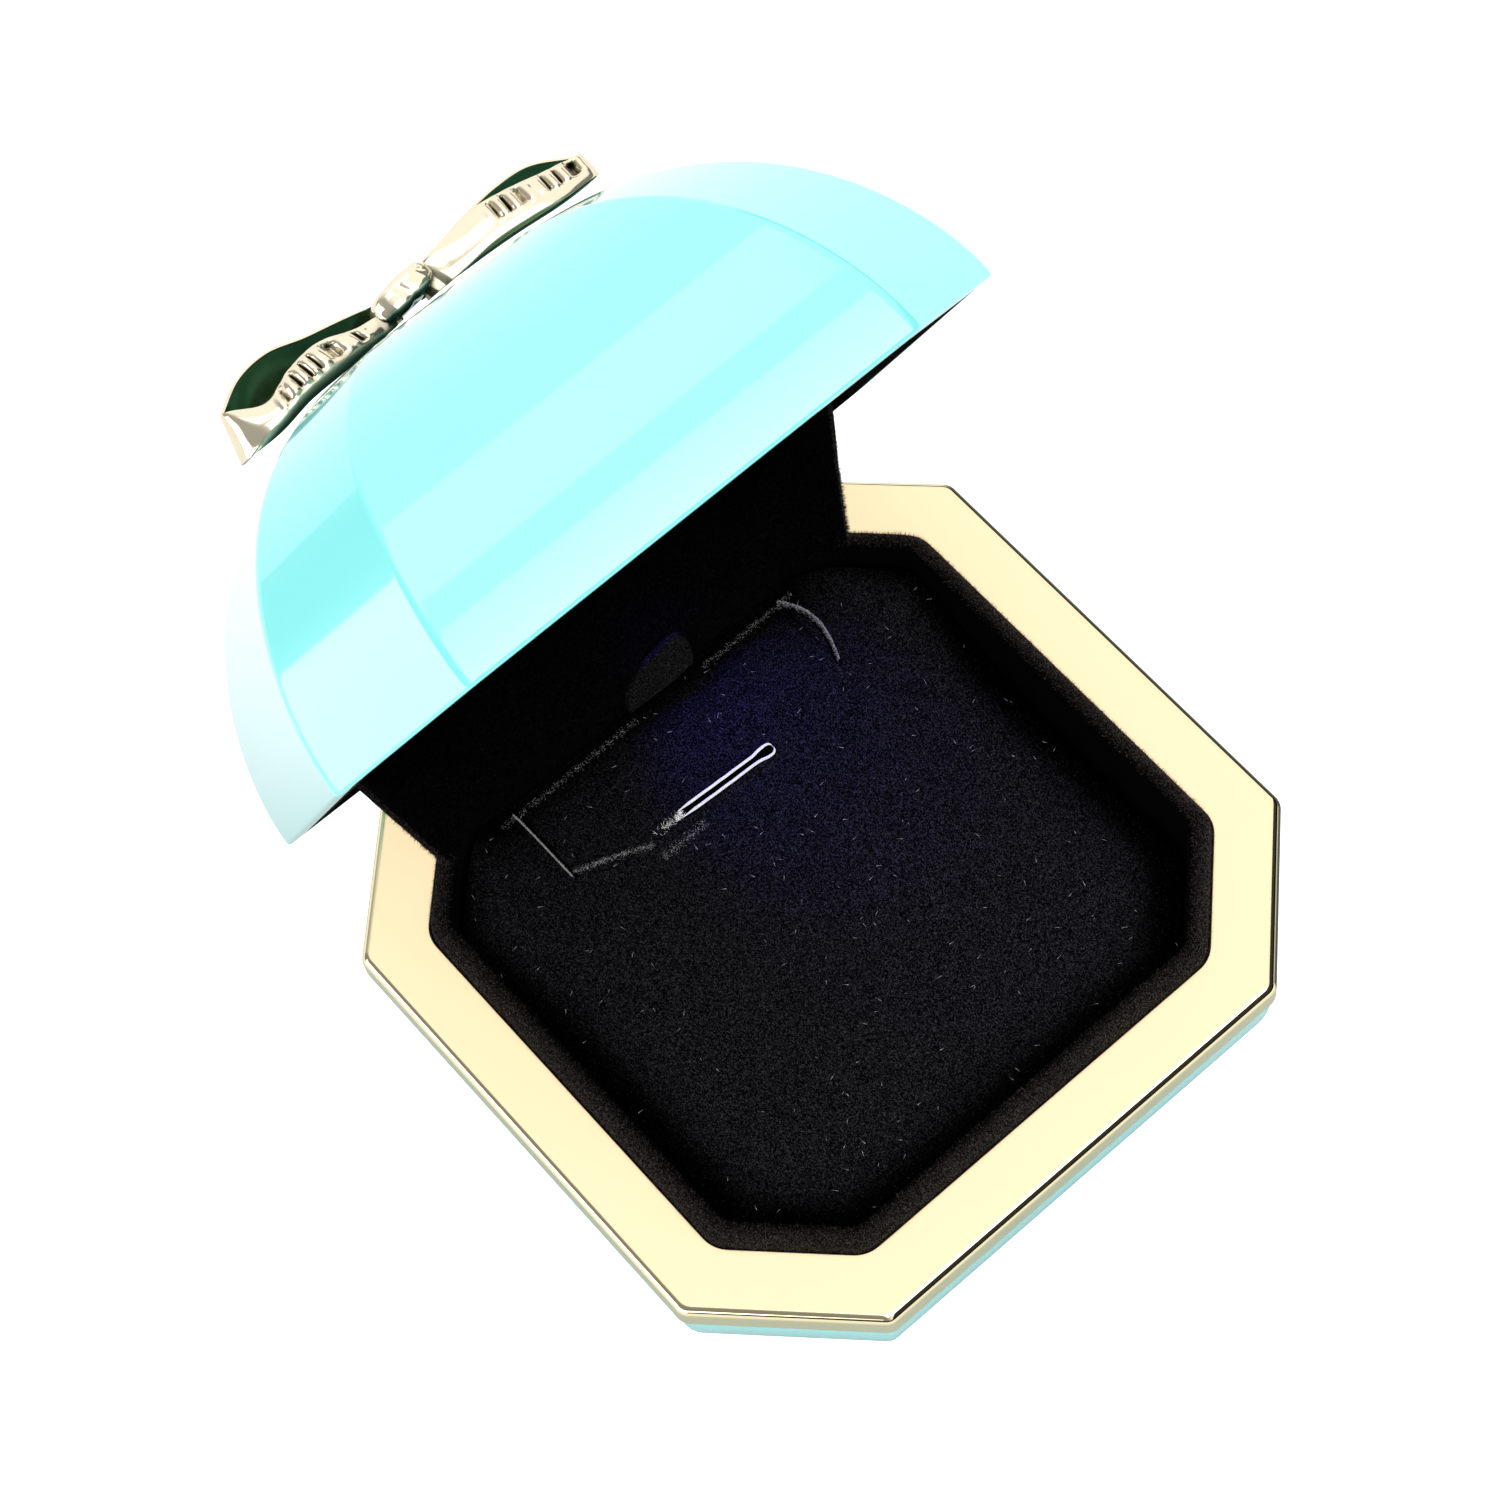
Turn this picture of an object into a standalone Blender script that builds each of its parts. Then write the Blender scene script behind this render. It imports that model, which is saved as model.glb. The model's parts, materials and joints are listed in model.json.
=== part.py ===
"""Octagonal ring box: lacquered base with a gold rim, velvet tray and pad, and a domed lid with a lamp and a gold bow.

Metres, +Z up, front towards -Y. The origin is the centre of the underside. The lid is modelled closed, in the base's
frame, and its pivot empty then turns it to its open rest position.
"""

from math import asin, cos, pi, radians, sin, sqrt

import bmesh
import bpy
from mathutils import Matrix, Vector

MM = 0.001
GAP = 0.3 * MM  # clearance between neighbouring pieces
CORNER_STEPS = 2
TURN_STEPS = 32

# Octagon of the base, to the edge of the rim's flat top
HALF_WIDTH = 40.0 * MM
HALF_DEPTH = 39.6 * MM
CHAMFER = 14.3 * MM
CORNER_RADIUS = 1.6 * MM
CHAMFER_SHRINK = 2 - sqrt(2)  # how fast a chamfer shortens as the octagon is inset

# Base heights
RIM_TOP = 23.0 * MM
BAND_HEIGHT = 3.4 * MM
RIM_EDGE = 1.2 * MM  # fillet of the rim's outer edge
RIM_PLATE = 1.6 * MM
RIM_INNER = 5.5 * MM  # inset of the rim's inner edge
SHELL_PROUD = 0.8 * MM
SHELL_WALL = 2.6 * MM
SHELL_FLOOR = 2.0 * MM
SHELL_BOTTOM = 1.2 * MM
BELLY_DEPTH = RIM_TOP - BAND_HEIGHT - GAP - SHELL_BOTTOM
BELLY_INSET = 12.0 * MM
FOOT_PAD_THICK = 0.9 * MM
WEIGHT_HALF = 24.0 * MM
WEIGHT_THICK = 3.0 * MM

# Velvet tray and pad
COLLAR_OUTER = 5.9 * MM
COLLAR_WALL = 2.4 * MM
COLLAR_CREST = RIM_TOP + 1.8 * MM
TRAY_FLOOR = 10.7 * MM
TRAY_THICK = 1.2 * MM
TRAY_REAR_TOP = RIM_TOP - 1.5 * MM
PAD_TOP = RIM_TOP - 4.6 * MM
PAD_COVER = 0.9 * MM
PAD_BOARD = 1.2 * MM
PAD_INSET = COLLAR_OUTER + COLLAR_WALL + GAP
PAD_REAR_TRIM = 1.0 * MM
SLOT_LENGTH = 14.6 * MM
SLOT_WIDTH = 1.0 * MM
SLOT_PLACE = Vector((-0.2, 16.8, 0)) * MM
SLIT_X = 18.7 * MM
SLIT_FRONT = 19.6 * MM
SLIT_WIDTH = 0.5 * MM
TAB_X = 2.4 * MM
TAB_HALF = 5.2 * MM
TAB_RISE = 7.6 * MM
TAB_THICK = 0.6 * MM

# Lid
OPEN_ANGLE = radians(65.3)
LID_HALF = 40.0 * MM
LID_CHAMFER = 13.5 * MM
LID_HEIGHT = 32.15 * MM
LID_PLANE = RIM_TOP + GAP
LID_WALL = 2.0 * MM
LINER_WALL = 1.2 * MM
LINER_CEILING = 18.5 * MM
DOME_SPREAD = 2.99  # superellipse powers of the dome's profile
DOME_RISE = 1.68
DOME_RINGS = 14

# Hinge, with its axis along X
PIVOT = Vector((0, 38.6 * MM, RIM_TOP - 3.05 * MM))
BARREL_RADIUS = 1.5 * MM
PIN_RADIUS = 0.6 * MM
BORE_RADIUS = 0.9 * MM
HINGE_HALF = 12.0 * MM
LID_LEAF_HALF = 6.7 * MM
SPRING_HALF = 3.3 * MM
LEAF_INNER = 36.0 * MM
LEAF_THICK = 0.8 * MM
LID_LEAF_RISE = 6.4 * MM
NOTCH_HALF = HINGE_HALF + 0.6 * MM
NOTCH_INNER = 35.6 * MM
SCREW_X = 9.6 * MM
SCREW_RADIUS = 0.7 * MM
SCREW_HEAD = 1.3 * MM

# Velvet curtain between the tray and the lid
CURTAIN_THICK = 0.7 * MM
CURTAIN_BASE_INSET = 7.1 * MM
CURTAIN_LID_INSET = 6.5 * MM
CURTAIN_BULGE = 0.8 * MM
CURTAIN_TUCK = 2.0 * MM

# Lamp in the lid, heights above the lid's mouth
LENS_RADIUS = 5.0 * MM
HOLDER_RADIUS = 13.0 * MM
HOLDER_TOP = 28.6 * MM
CELL_RADIUS = 10.0 * MM
CELL_THICK = 1.6 * MM

# Switch in the lid's rear rim
SWITCH_X = 20.0 * MM
SWITCH_Y = 35.4 * MM
SWITCH_HALF = Vector((2.6, 1.5, 1.9)) * MM
SWITCH_LOW = 1.2 * MM
PLUNGER_RADIUS = 0.8 * MM
PLUNGER_OUT = 1.2 * MM

# Bow on the dome
RIBBON_WIDTH = 6.2 * MM
RIBBON_THICK = 0.7 * MM
LOOP_REACH = 23.6 * MM
LOOP_START = 3.2 * MM
LOOP_DEPTH = 2.3 * MM
BOW_CENTRE = Vector((-0.4 * MM, 0, LID_PLANE + LID_HEIGHT + 3.1 * MM))
KNOT_SIZE = Vector((5.6, 5.4, 5.0)) * MM
POST_RADIUS = 1.5 * MM

COLOURS = {
    "lacquer": ((0.33, 0.93, 0.90), 0.12, 0.0),
    "gold": ((0.98, 0.85, 0.55), 0.10, 1.0),
    "velvet": ((0.012, 0.011, 0.014), 0.95, 0.0),
    "foam": ((0.15, 0.15, 0.16), 0.9, 0.0),
    "board": ((0.35, 0.28, 0.20), 0.8, 0.0),
    "steel": ((0.60, 0.60, 0.61), 0.35, 1.0),
    "spring_steel": ((0.45, 0.45, 0.47), 0.3, 1.0),
    "white_plastic": ((0.85, 0.85, 0.86), 0.4, 0.0),
    "circuit_board": ((0.05, 0.30, 0.12), 0.5, 0.0),
    "clear_plastic": ((0.80, 0.86, 1.00), 0.1, 0.0),
    "black_plastic": ((0.03, 0.03, 0.03), 0.4, 0.0),
}


def clear_scene():
    for thing in list(bpy.data.objects):
        bpy.data.objects.remove(thing, do_unlink=True)


def make_material(name):
    colour, roughness, metallic = COLOURS[name]
    material = bpy.data.materials.new(name)
    material.use_nodes = True
    shader = material.node_tree.nodes["Principled BSDF"]
    shader.inputs["Base Color"].default_value = (*colour, 1)
    shader.inputs["Roughness"].default_value = roughness
    shader.inputs["Metallic"].default_value = metallic
    return material


def add_object(name, mesh, material, body):
    """Links a piece whose mesh is in closed-box coordinates and hangs it on its body's empty."""
    piece = bpy.data.objects.new(name, mesh)
    mesh.materials.append(MATERIALS[material])
    MODEL.objects.link(piece)
    ride(piece, body)
    mesh.shade_smooth()
    mesh.set_sharp_from_angle(angle=radians(32))
    return piece


def ride(piece, body):
    piece.parent = body
    piece.matrix_parent_inverse = Matrix.Translation(-body.location)


def mesh_from(name, bm):
    bmesh.ops.recalc_face_normals(bm, faces=bm.faces)
    mesh = bpy.data.meshes.new(name)
    bm.to_mesh(mesh)
    bm.free()
    return mesh


def octagon(half_x, half_y, chamfer, radius, z):
    """Ring of points round an octagon with rounded corners, anticlockwise from the +X side."""
    near_x, near_y = half_x - chamfer, half_y - chamfer
    corners = (
        (half_x, near_y), (near_x, half_y), (-near_x, half_y), (-half_x, near_y),
        (-half_x, -near_y), (-near_x, -half_y), (near_x, -half_y), (half_x, -near_y),
    )
    reach = radius / cos(pi / 8)
    ring = []
    for index, (x, y) in enumerate(corners):
        facing = index * pi / 4
        middle = facing + pi / 8
        for step in range(CORNER_STEPS + 1):
            angle = facing + pi / 4 * step / CORNER_STEPS
            ring.append((
                x - reach * cos(middle) + radius * cos(angle),
                y - reach * sin(middle) + radius * sin(angle),
                z,
            ))
    return ring


def base_ring(inset, z):
    radius = max(CORNER_RADIUS - inset * 0.2, 0.5 * MM)
    return octagon(HALF_WIDTH - inset, HALF_DEPTH - inset, CHAMFER - inset * CHAMFER_SHRINK, radius, z)


def dome_share(rise):
    """Share of the dome's half width that is left at a share of its height."""
    return (1 - rise**DOME_RISE) ** (1 / DOME_SPREAD)


def dome_ring(half, height, z):
    share = dome_share(z / height)
    radius = CORNER_RADIUS * (0.25 + 0.75 * share)
    return octagon(half * share, half * share, LID_CHAMFER * half / LID_HALF * share, radius, LID_PLANE + z)


def dome_rings(half, height, top):
    """Rings from the mouth up to a given height, closer together where the dome turns inwards."""
    last = (top / height) ** (DOME_RISE / 2)
    return [
        dome_ring(half, height, height * (last * sin(pi / 2 * step / DOME_RINGS)) ** (2 / DOME_RISE))
        for step in range(DOME_RINGS + 1)
    ]


def loft(name, rings, material, body, looped=False):
    """Skin through rings of equal length, capped at both ends or closed into a loop."""
    bm = bmesh.new()
    rows = [[bm.verts.new(point) for point in ring] for ring in rings]
    pairs = list(zip(rows, rows[1:]))
    if looped:
        pairs.append((rows[-1], rows[0]))
    else:
        bm.faces.new(rows[0])
        bm.faces.new(rows[-1])
    for low, high in pairs:
        for index in range(len(low)):
            following = (index + 1) % len(low)
            bm.faces.new((low[index], low[following], high[following], high[index]))
    return add_object(name, mesh_from(name, bm), material, body)


def add_box(bm, low, high):
    size = Vector(high) - Vector(low)
    centre = (Vector(high) + Vector(low)) / 2
    bmesh.ops.create_cube(bm, size=1, matrix=Matrix.LocRotScale(centre, None, size))


def add_cylinder(bm, start, end, radius, segments=TURN_STEPS):
    along = Vector(end) - Vector(start)
    turn = Vector((0, 0, 1)).rotation_difference(along)
    place = Matrix.LocRotScale((Vector(start) + Vector(end)) / 2, turn, None)
    bmesh.ops.create_cone(
        bm, cap_ends=True, segments=segments, radius1=radius, radius2=radius, depth=along.length, matrix=place
    )


def box(name, low, high, material, body):
    bm = bmesh.new()
    add_box(bm, low, high)
    return add_object(name, mesh_from(name, bm), material, body)


def cylinder(name, start, end, radius, material, body, segments=TURN_STEPS):
    bm = bmesh.new()
    add_cylinder(bm, start, end, radius, segments)
    return add_object(name, mesh_from(name, bm), material, body)


def turned(name, profile, centre, material, body, steps=TURN_STEPS):
    """Profile of (radius, height) pairs, running down its outer side, turned round a vertical axis."""
    bm = bmesh.new()
    points = [bm.verts.new((radius, 0, height)) for radius, height in profile]
    for upper, lower in zip(points, points[1:]):
        bm.edges.new((upper, lower))
    if profile[0][0] > 0:
        bm.edges.new((points[-1], points[0]))
    mesh = bpy.data.meshes.new(name)
    bm.to_mesh(mesh)
    bm.free()
    piece = add_object(name, mesh, material, body)
    piece.location = centre
    screw = piece.modifiers.new("turn", "SCREW")
    screw.steps = screw.render_steps = steps
    screw.use_merge_vertices = True
    screw.merge_threshold = 0.01 * MM
    screw.use_smooth_shade = True
    return piece


def cut(piece, cutter):
    """Takes a helper solid away from a piece."""
    MODEL.objects.unlink(cutter)
    CUTTERS.objects.link(cutter)
    cutter.hide_render = True
    cutter.display_type = "WIRE"
    boolean = piece.modifiers.new("cut", "BOOLEAN")
    boolean.operation = "DIFFERENCE"
    boolean.solver = "EXACT"
    boolean.object = cutter


def weld_shapes(piece, other):
    """Joins a helper solid to a piece."""
    cut(piece, other)
    piece.modifiers[-1].operation = "UNION"


def thicken(piece, thickness):
    solidify = piece.modifiers.new("thickness", "SOLIDIFY")
    solidify.thickness = thickness
    solidify.offset = 0


def hinge_notch(name, low_z, body):
    low = (-NOTCH_HALF, NOTCH_INNER, low_z)
    high = (NOTCH_HALF, HALF_DEPTH + 6 * MM, RIM_TOP + 6 * MM)
    return box(name, low, high, "steel", body)


def belly(start_inset, depth, inset, steps=8):
    """Quarter ellipse from the wall down to the underside, as (inset, height) pairs from the top."""
    top = RIM_TOP - BAND_HEIGHT - GAP
    return [
        (start_inset + inset * (1 - cos(pi / 2 * step / steps)), top - depth * sin(pi / 2 * step / steps))
        for step in range(steps + 1)
    ]


def base_shell(body):
    tongue_top = RIM_TOP - RIM_PLATE - GAP
    tongue_outer = 0.5 * MM
    wall_inner = SHELL_WALL - SHELL_PROUD
    outer = belly(-SHELL_PROUD, BELLY_DEPTH, BELLY_INSET)
    inner = belly(wall_inner, BELLY_DEPTH - SHELL_FLOOR, BELLY_INSET)
    profile = outer[::-1] + [(tongue_outer, outer[0][1]), (tongue_outer, tongue_top), (wall_inner, tongue_top)] + inner
    shell = loft("base_shell", [base_ring(inset, z) for inset, z in profile], "lacquer", body)
    cut(shell, hinge_notch("shell_notch", PIVOT.z - 2.3 * MM, body))
    for side in (-1, 1):
        x = side * SCREW_X
        hole = cylinder(
            f"shell_screw_hole_{side}", (x, 35 * MM, SCREW_Z), (x, 39.2 * MM, SCREW_Z),
            SCREW_RADIUS + GAP, "steel", body, 16,
        )
        cut(shell, hole)


def gold_rim(body):
    low = RIM_TOP - BAND_HEIGHT
    fillet = [
        (RIM_EDGE * -sin(pi / 2 * step / 4), RIM_TOP - RIM_EDGE * (1 - cos(pi / 2 * step / 4))) for step in range(5)
    ]
    lip = 1.2 * MM
    bevel = 0.3 * MM
    profile = fillet + [
        (-RIM_EDGE, low),
        (0.2 * MM, low),
        (0.2 * MM, RIM_TOP - RIM_PLATE),
        (RIM_INNER - lip, RIM_TOP - RIM_PLATE),
        (RIM_INNER - lip, low),
        (RIM_INNER, low),
        (RIM_INNER, RIM_TOP - bevel),
        (RIM_INNER - bevel, RIM_TOP),
    ]
    rim = loft("gold_rim", [base_ring(inset, z) for inset, z in profile], "gold", body, looped=True)
    cut(rim, hinge_notch("rim_notch", low - 2 * MM, body))


def foot_and_weight(body):
    foot = BELLY_INSET + 0.8 * MM
    loft("foot_pad", [base_ring(foot, 0), base_ring(foot, FOOT_PAD_THICK)], "velvet", body)
    floor = SHELL_BOTTOM + SHELL_FLOOR + GAP
    chamfer = 9 * MM
    radius = 1.0 * MM
    rings = [octagon(WEIGHT_HALF, WEIGHT_HALF, chamfer, radius, z) for z in (floor, floor + WEIGHT_THICK)]
    loft("base_weight", rings, "steel", body)


def base_liner(body):
    inner = COLLAR_OUTER + COLLAR_WALL
    half_wall = COLLAR_WALL / 2
    low = TRAY_FLOOR - TRAY_THICK
    crest = [
        (COLLAR_OUTER + half_wall * (1 - cos(pi * step / 6)), COLLAR_CREST - half_wall * (1 - sin(pi * step / 6)))
        for step in range(7)
    ]
    profile = [(COLLAR_OUTER, low)] + crest + [(inner, TRAY_FLOOR)]
    liner = loft("base_liner", [base_ring(inset, z) for inset, z in profile], "velvet", body)
    low_corner = (-29 * MM, 25.6 * MM, TRAY_REAR_TOP)
    high_corner = (29 * MM, HALF_DEPTH, COLLAR_CREST + 5 * MM)
    cut(liner, box("liner_rear_cut", low_corner, high_corner, "steel", body))


def pad_ring(extra_inset, z):
    inset = PAD_INSET + extra_inset
    half_y = HALF_DEPTH - inset - PAD_REAR_TRIM / 2
    ring = octagon(HALF_WIDTH - inset, half_y, CHAMFER - inset * CHAMFER_SHRINK, CORNER_RADIUS, z)
    return [(x, y - PAD_REAR_TRIM / 2, z) for x, y, z in ring]


def slot_cutter(name, low_z, body):
    half = Vector((SLOT_LENGTH / 2, SLOT_WIDTH / 2, 0))
    low = SLOT_PLACE - half + Vector((0, 0, low_z))
    high = SLOT_PLACE + half + Vector((0, 0, RIM_TOP))
    return box(name, low, high, "steel", body)


def pad(body):
    board_low = TRAY_FLOOR + GAP
    foam_low = board_low + PAD_BOARD + GAP
    foam_top = PAD_TOP - PAD_COVER - GAP
    edge = 0.4 * MM
    loft("pad_board", [pad_ring(0, board_low), pad_ring(0, board_low + PAD_BOARD)], "board", body)
    foam = loft("pad_foam", [pad_ring(0, foam_low), pad_ring(0, foam_top)], "foam", body)
    cut(foam, slot_cutter("foam_slot", foam_low + 1 * MM, body))
    rings = [pad_ring(0, foam_top + GAP), pad_ring(0, PAD_TOP - edge), pad_ring(edge, PAD_TOP)]
    cover = loft("pad_cover", rings, "velvet", body)
    cut(cover, slot_cutter("cover_slot", foam_low, body))
    for side in (-1, 1):
        low = (side * SLIT_X - SLIT_WIDTH / 2, SLIT_FRONT, foam_low)
        high = (side * SLIT_X + SLIT_WIDTH / 2, HALF_DEPTH, RIM_TOP)
        cut(cover, box(f"cover_slit_{side}", low, high, "steel", body))
    pull_tab(board_low, body)


def pull_tab(low, body):
    """Upright half-oval tab behind the pad's rear edge."""
    rear = HALF_DEPTH - PAD_INSET - PAD_REAR_TRIM + GAP
    shoulder = PAD_TOP - 1 * MM
    rise = PAD_TOP + TAB_RISE - shoulder
    outline = [(TAB_X - TAB_HALF, low), (TAB_X + TAB_HALF, low)] + [
        (TAB_X + TAB_HALF * cos(pi * step / 12), shoulder + rise * sin(pi * step / 12)) for step in range(13)
    ]
    rings = [[(x, y, z) for x, z in outline] for y in (rear, rear + TAB_THICK)]
    loft("pull_tab", rings, "velvet", body)


def knuckle_outline(side):
    """Outline in YZ of a knuckle and the web that joins it to its plate, under the axis or above it."""
    lean = asin((BARREL_RADIUS - LEAF_THICK) / BARREL_RADIUS)
    root = LEAF_INNER + 0.3 * MM - PIVOT.y
    outline = [(root, BARREL_RADIUS - LEAF_THICK), (root, BARREL_RADIUS)]
    for step in range(17):
        angle = pi / 2 - (3 * pi / 2 - lean) * step / 16
        outline.append((BARREL_RADIUS * cos(angle), BARREL_RADIUS * sin(angle)))
    return [(PIVOT.y + y, PIVOT.z + side * z) for y, z in outline]


def hinge_leaf(name, spans, plate, side, body):
    """Plate, webs and knuckles in one piece, with a bore for the pin."""
    bm = bmesh.new()
    add_box(bm, *plate)
    leaf = add_object(name, mesh_from(name, bm), "steel", body)
    outline = knuckle_outline(side)
    for number, ends in enumerate(spans):
        rings = [[(x, y, z) for y, z in outline] for x in ends]
        weld_shapes(leaf, loft(f"{name}_knuckle_{number}", rings, "steel", body))
    ends = (-HINGE_HALF - 2 * MM, PIVOT.y, PIVOT.z), (HINGE_HALF + 2 * MM, PIVOT.y, PIVOT.z)
    cut(leaf, cylinder(f"{name}_bore", *ends, BORE_RADIUS, "steel", body, 24))
    return leaf


def screw(name, x, z, body):
    """Leaf screw along +Y, its head on the inner side of the leaf."""
    bm = bmesh.new()
    add_cylinder(bm, (x, LEAF_INNER - 1.1 * MM, z), (x, LEAF_INNER - GAP, z), SCREW_HEAD, 20)
    piece = add_object(name, mesh_from(name, bm), "steel", body)
    ends = (x, LEAF_INNER - 0.6 * MM, z), (x, 38.9 * MM, z)
    weld_shapes(piece, cylinder(f"{name}_shank", *ends, SCREW_RADIUS, "steel", body, 16))


def hinge(base, lid):
    step = 0.2 * MM  # keeps the plates' edges clear of the webs' faces
    web_height = BARREL_RADIUS - LEAF_THICK
    knuckle_start = LID_LEAF_HALF + GAP
    plate_top = PIVOT.z - web_height + step
    low = (step - HINGE_HALF, LEAF_INNER, plate_top - 6 * MM)
    high = (HINGE_HALF - step, LEAF_INNER + LEAF_THICK, plate_top)
    spans = (-HINGE_HALF, -knuckle_start), (knuckle_start, HINGE_HALF)
    leaf = hinge_leaf("hinge_base_leaf", spans, (low, high), -1, base)

    inner = SPRING_HALF + 0.6 * MM
    low = (step - LID_LEAF_HALF, LEAF_INNER, PIVOT.z + web_height - step)
    high = (LID_LEAF_HALF - step, LEAF_INNER + LEAF_THICK, LID_PLANE + LID_LEAF_RISE)
    spans = (-LID_LEAF_HALF, -inner), (inner, LID_LEAF_HALF)
    lid_leaf = hinge_leaf("hinge_lid_leaf", spans, (low, high), 1, lid)

    for side, word in ((-1, "left"), (1, "right")):
        x = side * SCREW_X
        hole = cylinder(
            f"leaf_hole_{word}", (x, 34 * MM, SCREW_Z), (x, 38 * MM, SCREW_Z), SCREW_RADIUS + GAP, "steel", base, 16
        )
        cut(leaf, hole)
        screw(f"base_screw_{word}", x, SCREW_Z, base)
        x = side * LID_SCREW_X
        hole = cylinder(
            f"lid_leaf_hole_{word}", (x, 34 * MM, LID_SCREW_Z), (x, 38 * MM, LID_SCREW_Z),
            SCREW_RADIUS + GAP, "steel", lid, 16,
        )
        cut(lid_leaf, hole)
        screw(f"lid_screw_{word}", x, LID_SCREW_Z, lid)

    pin_end = HINGE_HALF + 0.3 * MM
    cylinder("hinge_pin", (-pin_end, PIVOT.y, PIVOT.z), (pin_end, PIVOT.y, PIVOT.z), PIN_RADIUS, "steel", base, 20)
    hinge_spring(base)


def hinge_spring(body):
    """Torsion coil on the pin, between the lid leaf's knuckles."""
    wire = 0.22 * MM
    radius = 1.2 * MM
    turns = 6
    steps = 12
    curve = bpy.data.curves.new("hinge_spring", "CURVE")
    curve.dimensions = "3D"
    curve.bevel_depth = wire
    curve.bevel_resolution = 2
    curve.use_fill_caps = True
    spline = curve.splines.new("POLY")
    spline.points.add(turns * steps)
    for index in range(turns * steps + 1):
        angle = 2 * pi * index / steps
        x = -SPRING_HALF + 2 * SPRING_HALF * index / (turns * steps)
        spline.points[index].co = (x, PIVOT.y + radius * cos(angle), PIVOT.z + radius * sin(angle), 1)
    curve.materials.append(MATERIALS["spring_steel"])
    spring = bpy.data.objects.new("hinge_spring", curve)
    MODEL.objects.link(spring)
    ride(spring, body)


def along(points, share):
    """The point at a share of a polyline's length."""
    lengths = [(b - a).length for a, b in zip(points, points[1:])]
    left = share * sum(lengths)
    for start, end, length in zip(points, points[1:], lengths):
        if left <= length:
            return start.lerp(end, left / length)
        left -= length
    return points[-1]


def rear_arc(half_x, half_y, chamfer, end, z):
    """Rear part of an octagon, from an end point on the left round the back to its mirror image."""
    right = [Vector((half_x - chamfer, half_y, z)), Vector((half_x, half_y - chamfer, z)), Vector((*end, z))]
    if end[0] < half_x:
        right.pop(1)
    return [Vector((-p.x, p.y, p.z)) for p in reversed(right)] + right


def hinge_cover(body):
    """Velvet curtain between the rear of the tray and the rear of the lid's mouth, at the rest opening."""
    across, up = 36, 4
    shrink = CHAMFER - CURTAIN_BASE_INSET * CHAMFER_SHRINK
    half_x, half_y = HALF_WIDTH - CURTAIN_BASE_INSET, HALF_DEPTH - CURTAIN_BASE_INSET
    end_x = half_x - shrink * 0.55
    low_arc = rear_arc(half_x, half_y, shrink, (end_x, half_x + half_y - shrink - end_x), RIM_TOP)
    half = LID_HALF - CURTAIN_LID_INSET
    lid_chamfer = LID_CHAMFER - CURTAIN_LID_INSET * CHAMFER_SHRINK
    high_arc = rear_arc(half, half, lid_chamfer, (half, 20 * MM), LID_PLANE + CURTAIN_TUCK)
    opening = Matrix.Translation(PIVOT) @ Matrix.Rotation(-OPEN_ANGLE, 4, "X") @ Matrix.Translation(-PIVOT)
    bm = bmesh.new()
    rows = []
    for row in range(up + 1):
        rise = row / up
        lift = Vector((0, 0, CURTAIN_BULGE * sin(pi * rise)))
        rows.append([
            bm.verts.new(along(low_arc, i / across).lerp(opening @ along(high_arc, i / across), rise) + lift)
            for i in range(across + 1)
        ])
    for low, high in zip(rows, rows[1:]):
        for index in range(across):
            bm.faces.new((low[index], low[index + 1], high[index + 1], high[index]))
    mesh = bpy.data.meshes.new("hinge_cover")
    bm.to_mesh(mesh)
    bm.free()
    thicken(add_object("hinge_cover", mesh, "velvet", body), CURTAIN_THICK)


def lid_shell(body):
    outer = dome_rings(LID_HALF, LID_HEIGHT, LID_HEIGHT * 0.9995)
    inner = dome_rings(LID_HALF - LID_WALL, LID_HEIGHT - LID_WALL, (LID_HEIGHT - LID_WALL) * 0.9995)
    shell = loft("lid_shell", outer[::-1] + inner, "lacquer", body)
    top = LID_PLANE + LID_HEIGHT
    ends = (BOW_CENTRE.x, 0, top - 6 * MM), (BOW_CENTRE.x, 0, top + 4 * MM)
    cut(shell, cylinder("post_hole", *ends, POST_RADIUS + GAP, "steel", body, 24))
    for side in (-1, 1):
        x = side * LID_SCREW_X
        ends = (x, 33 * MM, LID_SCREW_Z), (x, 39.2 * MM, LID_SCREW_Z)
        cut(shell, cylinder(f"lid_screw_hole_{side}", *ends, SCREW_RADIUS + GAP, "steel", body, 16))


def lid_liner(body):
    outer_half = LID_HALF - LID_WALL - 2 * GAP
    height = LID_HEIGHT - LID_WALL
    outer = dome_rings(outer_half, height, LINER_CEILING)
    inner = dome_rings(outer_half - LINER_WALL, height, LINER_CEILING - LINER_WALL)
    liner = loft("lid_liner", outer[::-1] + inner, "velvet", body)
    ends = (0, 0, LID_PLANE + LINER_CEILING - 5 * MM), (0, 0, LID_PLANE + LINER_CEILING + 5 * MM)
    cut(liner, cylinder("lens_hole", *ends, LENS_RADIUS + GAP, "steel", body))
    low = (-LID_LEAF_HALF - 3 * MM, 32 * MM, LID_PLANE - 2 * MM)
    high = (LID_LEAF_HALF + 3 * MM, LID_HALF, LID_PLANE + LID_LEAF_RISE + 1 * MM)
    cut(liner, box("leaf_window", low, high, "steel", body))
    low = (SWITCH_X - SWITCH_HALF.x - GAP, 32 * MM, LID_PLANE - 2 * MM)
    high = (SWITCH_X + SWITCH_HALF.x + GAP, LID_HALF, LID_PLANE + SWITCH_LOW + 2 * SWITCH_HALF.z + GAP)
    cut(liner, box("switch_window", low, high, "steel", body))


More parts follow.
